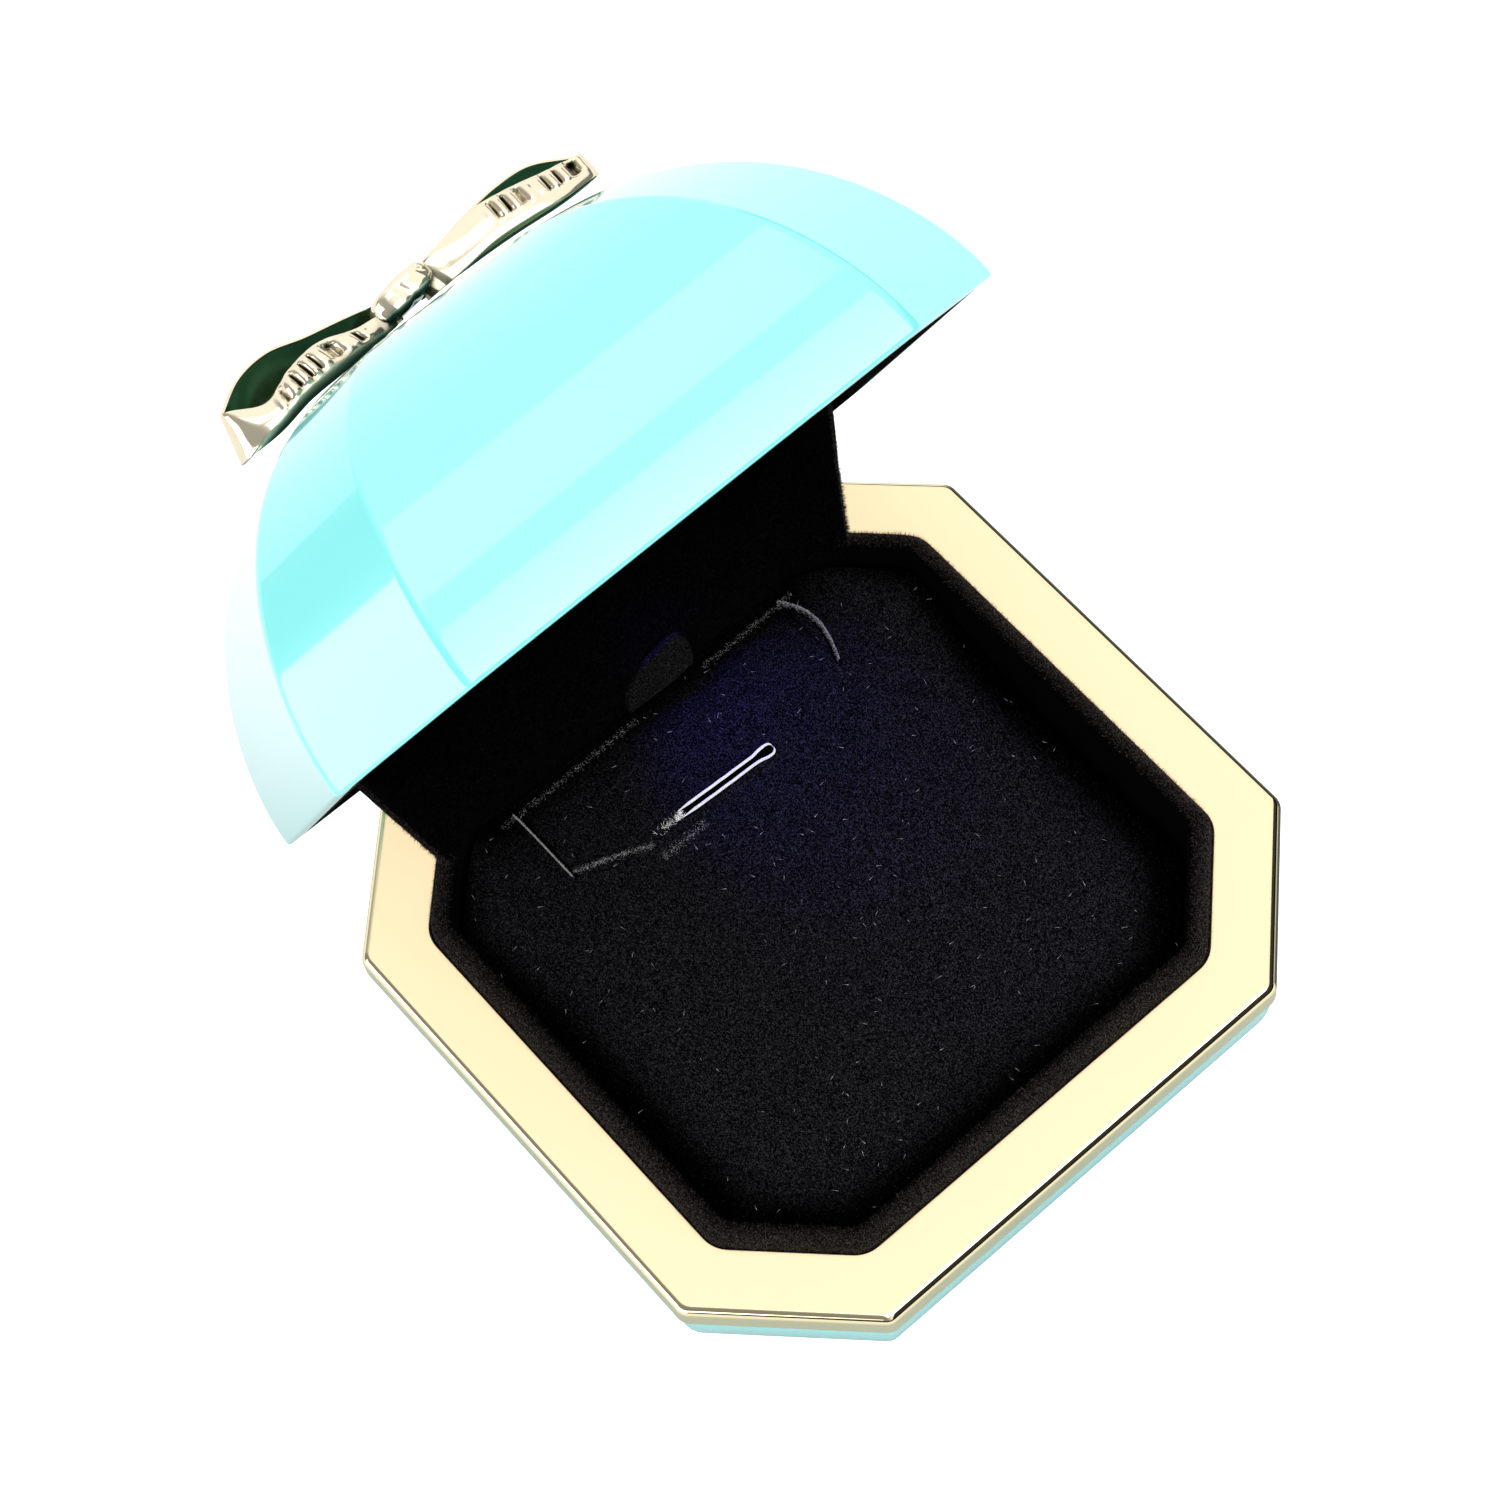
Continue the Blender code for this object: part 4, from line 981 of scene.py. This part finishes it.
def curtain():
    """Velvet sheet from inside the tray's rear wall to the inside of the lid, made for the lid's rest opening only; the
    real sheet folds inwards as the lid closes.
    """
    across, down, up = 100, 6, 22
    wall = HALF_DEPTH - 7.7 * MM
    low_half = [
        Vector((22.2 * MM, wall, RIM_TOP - 0.2 * MM)),
        Vector((27.6 * MM, 26.9 * MM, RIM_TOP + 0.3 * MM)),
    ]
    lid_inside = LINER_HALF - LINER_WALL
    high_half = [
        Vector((lid_inside - 11.6 * MM, lid_inside - 1.4 * MM, LID_PLANE + 3.2 * MM)),
        Vector((lid_inside - 1.2 * MM, lid_inside - 12.0 * MM, LID_PLANE + 5.0 * MM)),
        Vector((lid_inside - 1.6 * MM, 7.0 * MM, LID_PLANE + 9.5 * MM)),
    ]
    low_line = mirrored(low_half)
    high_line = mirrored(high_half)
    bm = bmesh.new()
    rows = []
    for row in range(-down, up + 1):
        rise = max(0, row / up)
        points = []
        for column in range(across + 1):
            share = column / across
            eased = share + 0.035 * sin(tau * share)
            foot = along(low_line, share)
            place = foot.lerp(OPENING @ along(high_line, eased), rise)
            place.z += 0.9 * MM * sin(pi * rise) * sin(pi * share) ** 0.5
            place.y += wobble(place, 120, 0.35 * MM, 9) * sin(pi * rise)
            if row < 0:
                tucked = min(1, max(0, (27.5 * MM - abs(place.x)) / (0.8 * MM)))
                place.z += row / down * (RIM_TOP - PAD_TOP + 2.4 * MM) * tucked
            points.append(place)
        rows.append(points)
    verts = [[bm.verts.new(p) for p in row] for row in rows]
    for first, second in zip(verts, verts[1:]):
        for column in range(across):
            bm.faces.new((first[column], first[column + 1], second[column + 1], second[column]))
    mesh = bpy.data.meshes.new("curtain_velvet")
    bm.to_mesh(mesh)
    bm.free()
    piece = add_piece("curtain_velvet", mesh, CURTAIN_VELVET, ["hinge_cover"])
    weld = piece.modifiers.new("weld", "WELD")
    weld.merge_threshold = 0.02 * MM
    solid = piece.modifiers.new("thickness", "SOLIDIFY")
    solid.thickness = 0.7 * MM
    solid.offset = 0
    apply_modifiers(piece)
    shade(piece, 70)
    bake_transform(piece)
    roots = []
    for side, column in ((-1, 0), (1, across)):
        edge = [row[column] for row in rows[down:]]
        inwards = [(row[column + (1 if side < 0 else -1)] - row[column]).normalized() for row in rows[down:]]
        roots += strip_roots(edge, [-v for v in inwards], 0.40 * MM, 55 / MM, 40 + side)
    pile = add_piece("curtain_pile", pile_mesh("curtain_pile", roots, 0.60 * MM, 0.035 * MM, 0.40, 44), PILE)
    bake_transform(pile)


# ---------------------------------------------------------------- lid

def to_lid(piece):
    """Turns a piece made for the closed lid to its rest opening, and hangs it on the lid."""
    piece.data.transform(OPENING)
    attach(piece, "lid")


def lid_dome():
    top = LID_HEIGHT
    outer = dome_rings(LID_HALF, LID_HEIGHT, top * 0.9995, 56, 0.45 * MM)
    inner = dome_rings(LID_HALF - LID_WALL, LID_HEIGHT - LID_WALL, (LID_HEIGHT - LID_WALL) * 0.9995, 30)
    share = (1 - (0.45 * MM / LID_HEIGHT) ** DOME_RISE) ** (1 / DOME_SPREAD)
    lip = []
    for step in range(5):
        angle = pi / 2 * step / 5
        inset = 0.45 * MM * (1 - sin(angle))
        half = LID_HALF * share - inset
        lip.append(octagon(half, half, (LID_CHAMFER - inset) * share, 1.6 * MM, LID_PLANE + 0.45 * MM * (1 - cos(angle))))
    rings = outer[::-1] + lip[::-1] + inner
    piece = add_piece("lid_lacquer", loft_mesh("lid_lacquer", rings), LACQUER, ["lid_shell"])
    crown = LID_PLANE + LID_HEIGHT
    post = -0.4 * MM
    cut(piece, (post - 2 * MM, -2 * MM, crown - 6 * MM), (post + 2 * MM, 2 * MM, crown + 4 * MM), 1.8 * MM)
    shade(piece, 30)
    weigh_normals(piece)
    to_lid(piece)


def lid_liner():
    height = LID_HEIGHT - LID_WALL
    outer = dome_rings(LINER_HALF, height, LINER_CEILING, 30)
    inner = dome_rings(LINER_HALF - LINER_WALL, height, LINER_CEILING - LINER_WALL, 34)
    piece = add_piece("lid_velvet", loft_mesh("lid_velvet", outer[::-1] + inner), LINER_VELVET, ["lid_liner"])
    ceiling = LID_PLANE + LINER_CEILING
    cut(piece, (-5 * MM, -5 * MM, ceiling - 5 * MM), (5 * MM, 5 * MM, ceiling + 5 * MM), 5.3 * MM)
    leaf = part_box("hinge_lid_leaf")[1].x + 0.4 * MM
    cut(piece, (-leaf, 32 * MM, LID_PLANE - 2 * MM), (leaf, LID_HALF, LID_PLANE + 7.4 * MM))
    switch_low, switch_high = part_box("switch_body")
    cut(
        piece,
        (switch_low.x - 0.3 * MM, 32 * MM, LID_PLANE - 2 * MM),
        (switch_high.x + 0.3 * MM, LID_HALF, LID_PLANE + 5.3 * MM),
    )
    shade(piece, 40)
    to_lid(piece)
    line = [Vector(p) for p in dome_ring(LINER_HALF - LINER_WALL / 2, height, 0.42 * MM)]
    line.append(line[0])
    down = [Vector((0, 0, -1))] * len(line)
    roots = [r for r in strip_roots(line, down, 0.5 * MM, 14 / MM, 51) if r[0].y < 31 * MM]
    pile = add_piece("lid_pile", pile_mesh("lid_pile", roots, 0.5 * MM, 0.035 * MM, 0.4, 52), PILE)
    to_lid(pile)


# ---------------------------------------------------------------- bow

APEX = Vector((-0.2 * MM, 0, LID_PLANE + LID_HEIGHT))
LOOP_START = 1.6 * MM
# Edge heights above the lid's apex in mm at even steps from the knot to the loop's end
EDGES = {
    -1: {
        "front": ((0.8, 0.5, 0.2, 0.0, -0.7, -0.8), (2.5, 2.7, 3.9, 3.5, 2.3, 4.3)),
        "rear": ((1.2, 1.1, 0.9, 0.6, 0.0, -0.8), (3.6, 4.7, 5.6, 6.7, 6.3, 4.3)),
    },
    1: {
        "front": ((0.8, 0.9, 1.2, 0.9, 0.4, 0.5), (3.5, 4.4, 5.2, 4.7, 3.8, 3.2)),
        "rear": ((1.4, 1.3, 1.3, 1.1, 0.7, 0.5), (4.1, 4.7, 5.5, 6.0, 5.6, 3.2)),
    },
}
LOOP_REACH = {-1: 22.4 * MM, 1: 23.3 * MM}
LOOP_LEAN = {-1: 0.26, 1: 0.04}
# Half depth of the loops, and how far their front ply leans back and bellies out, in mm
LOOP_DEPTH = {-1: (0.9, 1.9, 2.6, 3.0, 3.1, 2.9), 1: (0.9, 2.0, 2.8, 3.1, 3.0, 2.6)}
FRONT_LEAN = {-1: 0.9, 1: 1.9}
FRONT_BELLY = {-1: 0.95, 1: 0.55}
# Gathers: distance from the knot, depth and width, in mm
PLEATS = {
    -1: ((6.4, 1.2, 0.30), (9.3, 1.8, 0.75), (11.6, 1.0, 0.24), (12.8, 1.0, 0.24), (14.2, 1.1, 0.28), (16.0, 1.0, 0.40)),
    1: ((12.2, 0.8, 0.30), (13.5, 1.2, 0.28), (15.2, 1.1, 0.45), (18.0, 1.0, 0.24), (19.4, 1.1, 0.26), (21.4, 2.0, 0.65)),
}


def through(heights, share):
    """Smooth curve through evenly spaced heights."""
    last = len(heights) - 1
    place = min(max(share, 0), 1) * last
    index = min(int(place), last - 1)
    t = place - index
    b, c = heights[index], heights[index + 1]
    a = heights[index - 1] if index else 2 * b - c
    d = heights[index + 2] if index + 2 <= last else 2 * c - b
    return 0.5 * (2 * b + (c - a) * t + (2 * a - 5 * b + 4 * c - d) * t**2 + (3 * b - a - 3 * c + d) * t**3)


def bow_loop(name, side):
    """Standing ribbon loop: a low puffed front ply with gathered pleats and a taller ply behind it."""
    steps, across = 300, 22
    rows = []
    for step in range(steps + 1):
        path = abs(2 * step / steps - 1)
        out = 1 - path**1.7
        front = step < steps / 2
        ply = EDGES[side]["front" if front else "rear"]
        reach = LOOP_REACH[side] - LOOP_START
        x = LOOP_START + reach * out
        end = sqrt(max(0.0, 1 - out**9))
        depth = through(LOOP_DEPTH[side], out) * MM * end
        low, high = (through(edge, out) * MM for edge in ply)
        belly = min(1, out * 3) * end
        row = []
        for column in range(across + 1):
            v = column / across
            bulge = 4 * v * (1 - v)
            if front:
                shift = -depth + (FRONT_LEAN[side] * v - FRONT_BELLY[side] * bulge**0.8) * MM * belly
            else:
                shift = depth - (1.3 * v**2 - 0.5 * bulge) * MM * belly
            crease, puff = 0.0, 0.0
            if front:
                window = eased(v, 0.30, 0.48) * (1 - eased(v, 0.86, 0.98))
                for place, depth_of, width in PLEATS[side]:
                    away = x / MM - place - 0.6 * (v - 0.6)
                    crease += depth_of * exp(-((away / width) ** 2)) * window
                    puff += 0.6 * exp(-(((abs(away) - width - 0.42) / 0.34) ** 2)) * window
            fan = 0.12 * MM * sin((x / MM) * 3.4 + v * 3 + side) * exp(-((x / MM - 2.2) / 2.2) ** 2)
            fold = exp(-(((1 - out) * reach / MM) / 1.6) ** 2)
            jag = wobble((x, v * 6 * MM, side * 5), 420, 0.22 * MM, 2) * fold
            height = low + (high - low) * v
            row.append(Vector((
                APEX.x + side * (x - LOOP_LEAN[side] * (v - 0.35) * 5.4 * MM * out**3),
                shift + crease * 0.55 * MM - puff * 0.22 * MM + fan + jag,
                APEX.z + height - crease * 0.10 * MM,
            )))
        rows.append(row)
    bm = bmesh.new()
    verts = [[bm.verts.new(p) for p in row] for row in rows]
    for first, second in zip(verts, verts[1:]):
        for column in range(across):
            bm.faces.new((first[column], first[column + 1], second[column + 1], second[column]))
    mesh = bpy.data.meshes.new(name)
    bm.to_mesh(mesh)
    bm.free()
    outside_first = side < 0
    first_material, second_material = (GOLD, RIBBON_INSIDE) if outside_first else (RIBBON_INSIDE, GOLD)
    piece = add_piece(name, mesh, first_material, ["bow_left_loop" if side < 0 else "bow_right_loop"])
    mesh.materials.append(second_material)
    solid = piece.modifiers.new("thickness", "SOLIDIFY")
    solid.material_offset = 1
    solid.material_offset_rim = 0 if outside_first else 1
    solid.thickness = 0.40 * MM
    solid.offset = 0
    bevel = piece.modifiers.new("edge", "BEVEL")
    bevel.width = 0.12 * MM
    bevel.segments = 2
    bevel.angle_limit = radians(60)
    apply_modifiers(piece)
    shade(piece, 45)
    to_lid(piece)


def bow_knot():
    """Crinkled band drawn tight round the middle of the bow."""
    rings, around = 96, 72
    half = Vector((3.9, 2.8, 1.75)) * MM
    rows = []
    for ring in range(1, rings):
        s = ring / rings * 2 - 1
        profile = (1 - abs(s) ** 3.0) ** 0.45
        row = []
        for step in range(around):
            angle = tau * step / around
            y, z = cos(angle), sin(angle)
            bulge = 1 / (abs(y) ** 3.6 + abs(z) ** 3.6) ** (1 / 3.6)
            turn = (s * 1.55 + 0.42 * z + 0.10 * y) * pi * 1.7 + 0.8
            fold = (0.5 + 0.5 * cos(turn)) ** 3
            depth = 0.20 * MM * fold * profile * (0.35 if y > 0 or z > 0.5 else 1.0)
            lean = 0.22 * z * half.z
            row.append(Vector((
                APEX.x + s * half.x + 0.35 * MM * z * (1 - abs(s)),
                y * (half.y * profile * bulge - depth) + lean,
                APEX.z + 2.95 * MM + 0.45 * MM * s + z * (half.z * profile * bulge - depth),
            )))
        rows.append(row)
    bm = bmesh.new()
    verts = [[bm.verts.new(p) for p in row] for row in rows]
    bm.faces.new(verts[0])
    bm.faces.new(verts[-1])
    for first, second in zip(verts, verts[1:]):
        for step in range(around):
            following = (step + 1) % around
            bm.faces.new((first[step], first[following], second[following], second[step]))
    bmesh.ops.recalc_face_normals(bm, faces=bm.faces)
    mesh = bpy.data.meshes.new("bow_knot_gold")
    bm.to_mesh(mesh)
    bm.free()
    piece = add_piece("bow_knot_gold", mesh, GOLD, ["bow_knot"])
    shade(piece, 60)
    to_lid(piece)


# ---------------------------------------------------------------- CAD nodes that stay

KEPT = {
    "base_weight": STEEL, "hinge_base_leaf": STEEL, "hinge_pin": STEEL, "hinge_spring": SPRING,
    "base_screw_left": STEEL, "base_screw_right": STEEL, "pad_board": BOARD, "hinge_lid_leaf": STEEL,
    "lid_screw_left": STEEL, "lid_screw_right": STEEL, "lamp_holder": WHITE_PLASTIC, "lamp_board": GREEN_BOARD,
    "lamp": CLEAR, "lamp_lens": LENS, "coin_cell_lower": STEEL, "coin_cell_upper": STEEL,
    "battery_contact": SPRING, "switch_body": BLACK_PLASTIC, "switch_plunger": WHITE_PLASTIC,
    "bow_post": GOLD, "bow_push_nut": SPRING,
}


def dress_kept_nodes():
    for name, material in KEPT.items():
        kept = frame["nodes"][name]
        kept.data.materials.clear()
        kept.data.materials.append(material)


# ---------------------------------------------------------------- stage

def lamp_light():
    lens_low, lens_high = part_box("lamp_lens")
    light = bpy.data.lights.new("lamp_glow", "SPOT")
    light.color = (0.09, 0.06, 1.0)
    light.energy = 0.13
    light.shadow_soft_size = 2.5 * MM
    light.spot_size = radians(50)
    light.spot_blend = 1.0
    lamp = bpy.data.objects.new("lamp_glow", light)
    lamp.location = (lens_low + lens_high) / 2 + OPENING.to_3x3() @ Vector((0, 17 * MM, -2.0 * MM))
    aim = Vector((9 * MM, 13 * MM, PAD_TOP)) - lamp.location
    lamp.rotation_euler = aim.to_track_quat("-Z", "Y").to_euler()
    bpy.context.scene.collection.objects.link(lamp)
    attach(lamp, "lid")


def floor():
    bm = bmesh.new()
    bmesh.ops.create_grid(bm, x_segments=1, y_segments=1, size=4)
    mesh = bpy.data.meshes.new("floor")
    bm.to_mesh(mesh)
    bm.free()
    ground = bpy.data.objects.new("floor", mesh)
    ground.location.z = -0.05 * MM
    bpy.context.scene.collection.objects.link(ground)
    material, nodes, links, shader = new_material("floor")
    tone = noise_texture(nodes, links, 3, 2)
    links.new(ramp(nodes, links, tone, [(0.3, grey(0.62)), (0.7, grey(0.66))]), shader.inputs["Base Color"])
    shader.inputs["Roughness"].default_value = 0.9
    shader.inputs["Specular IOR Level"].default_value = 0.0
    place = nodes.new("ShaderNodeNewGeometry")
    far = nodes.new("ShaderNodeVectorMath")
    far.operation = "LENGTH"
    links.new(place.outputs["Position"], far.inputs[0])
    near_shade = nodes.new("ShaderNodeMapRange")
    near_shade.interpolation_type = "SMOOTHSTEP"
    near_shade.inputs["From Min"].default_value = 0.058
    near_shade.inputs["From Max"].default_value = 0.100
    near_shade.inputs["To Min"].default_value = 0.0
    near_shade.inputs["To Max"].default_value = 0.46
    links.new(far.outputs["Value"], near_shade.inputs["Value"])
    path = nodes.new("ShaderNodeLightPath")
    seen = nodes.new("ShaderNodeMix")
    seen.data_type = "FLOAT"
    seen.inputs["B"].default_value = 1.0
    links.new(path.outputs["Is Camera Ray"], seen.inputs["Factor"])
    links.new(near_shade.outputs["Result"], seen.inputs["A"])
    shader.inputs["Emission Color"].default_value = (1, 1, 1, 1)
    links.new(seen.outputs["Result"], shader.inputs["Emission Strength"])
    ground.data.materials.append(material)


def window(nodes, links, axes, x_range, y_range, softness, strength):
    """Soft-edged bright rectangle in the sky, in terms of two components of the ray's direction."""
    edges = []
    for axis, (low, high) in zip(axes, (x_range, y_range)):
        for edge, sign in ((low, 1), (high, -1)):
            made = nodes.new("ShaderNodeMapRange")
            made.interpolation_type = "SMOOTHSTEP"
            made.inputs["From Min"].default_value = edge - softness * sign
            made.inputs["From Max"].default_value = edge + softness * sign
            links.new(axis, made.inputs["Value"])
            edges.append(made.outputs["Result"])
    product = edges[0]
    for edge in edges[1:]:
        made = nodes.new("ShaderNodeMath")
        made.operation = "MULTIPLY"
        links.new(product, made.inputs[0])
        links.new(edge, made.inputs[1])
        product = made.outputs[0]
    scaled = nodes.new("ShaderNodeMath")
    scaled.operation = "MULTIPLY"
    scaled.inputs[1].default_value = strength
    links.new(product, scaled.inputs[0])
    return scaled.outputs[0]


def add(nodes, links, first, second):
    made = nodes.new("ShaderNodeMath")
    made.operation = "ADD"
    links.new(first, made.inputs[0])
    links.new(second, made.inputs[1])
    return made.outputs[0]


def sky():
    """White studio: an even dome for the light, and soft boxes that only the glossy surfaces see."""
    world = bpy.data.worlds.new("studio")
    bpy.context.scene.world = world
    world.use_nodes = True
    nodes, links = world.node_tree.nodes, world.node_tree.links
    background = nodes["Background"]
    background.inputs["Color"].default_value = (1, 1, 1, 1)
    place = nodes.new("ShaderNodeTexCoord")
    split = nodes.new("ShaderNodeSeparateXYZ")
    links.new(place.outputs["Generated"], split.inputs["Vector"])
    x, y, z = (split.outputs[name] for name in "XYZ")

    def gradient(axis, low, high, at_low, at_high):
        made = nodes.new("ShaderNodeMapRange")
        made.inputs["From Min"].default_value = low
        made.inputs["From Max"].default_value = high
        made.inputs["To Min"].default_value = at_low
        made.inputs["To Max"].default_value = at_high
        links.new(axis, made.inputs["Value"])
        return made.outputs["Result"]

    dome = gradient(z, 0, 1, 0.62, 1.42)
    mirror = gradient(x, -0.45, -0.08, 0.30, 1.35)
    near_box = window(nodes, links, (x, y), (-0.30, 0.302), (0.205, 0.60), 0.012, 1.45)
    front_box = window(nodes, links, (x, y), (-0.30, 0.360), (-0.62, 0.035), 0.012, 1.0)
    mirror = add(nodes, links, mirror, near_box)
    mirror = add(nodes, links, mirror, times(nodes, links, front_box, gradient(y, -0.30, 0.02, 2.9, 1.7)))
    left_box = window(nodes, links, (y, z), (-0.60, 0.635), (0.02, 0.42), 0.014, 3.9)
    left_side = nodes.new("ShaderNodeMath")
    left_side.operation = "LESS_THAN"
    left_side.inputs[1].default_value = 0.0
    links.new(x, left_side.inputs[0])
    mirror = add(nodes, links, mirror, times(nodes, links, left_box, left_side.outputs[0]))

    corner = nodes.new("ShaderNodeMath")
    corner.operation = "SUBTRACT"
    links.new(x, corner.inputs[0])
    links.new(y, corner.inputs[1])
    flags = (
        (x, (0.62, 1.2), (0.04, 0.30)),
        (y, (-1.2, -0.55), (-0.05, 0.22)),
        (corner.outputs[0], (0.80, 1.6), (0.03, 0.74)),
    )
    for axis, across_range, up_range in flags:
        flag = window(nodes, links, (axis, z), across_range, up_range, 0.02, 1.0)
        mirror = times(nodes, links, mirror, gradient(flag, 0, 1, 1.0, 0.03))
    path = nodes.new("ShaderNodeLightPath")
    choose = nodes.new("ShaderNodeMix")
    choose.data_type = "FLOAT"
    links.new(path.outputs["Is Glossy Ray"], choose.inputs["Factor"])
    links.new(dome, choose.inputs["A"])
    links.new(mirror, choose.inputs["B"])
    links.new(choose.outputs["Result"], background.inputs["Strength"])


def camera():
    data = bpy.data.cameras.new("camera")
    data.lens = 98.85
    data.shift_x = -0.0289
    data.shift_y = -0.0055
    data.clip_start = 0.01
    eye = bpy.data.objects.new("camera", data)
    eye.location = (-0.08945, -0.14538, 0.41556)
    eye.rotation_euler = tuple(radians(angle) for angle in (25.079, 4.448, -40.950))
    bpy.context.scene.collection.objects.link(eye)
    bpy.context.scene.camera = eye
    bpy.context.scene.view_settings.view_transform = "Standard"


base_shell()
gold_rim()
tray()
foot()
pad()
pull_tab()
curtain()
lid_dome()
lid_liner()
bow_loop("bow_left_gold", -1)
bow_loop("bow_right_gold", 1)
bow_knot()
dress_kept_nodes()
lamp_light()
floor()
sky()
camera()
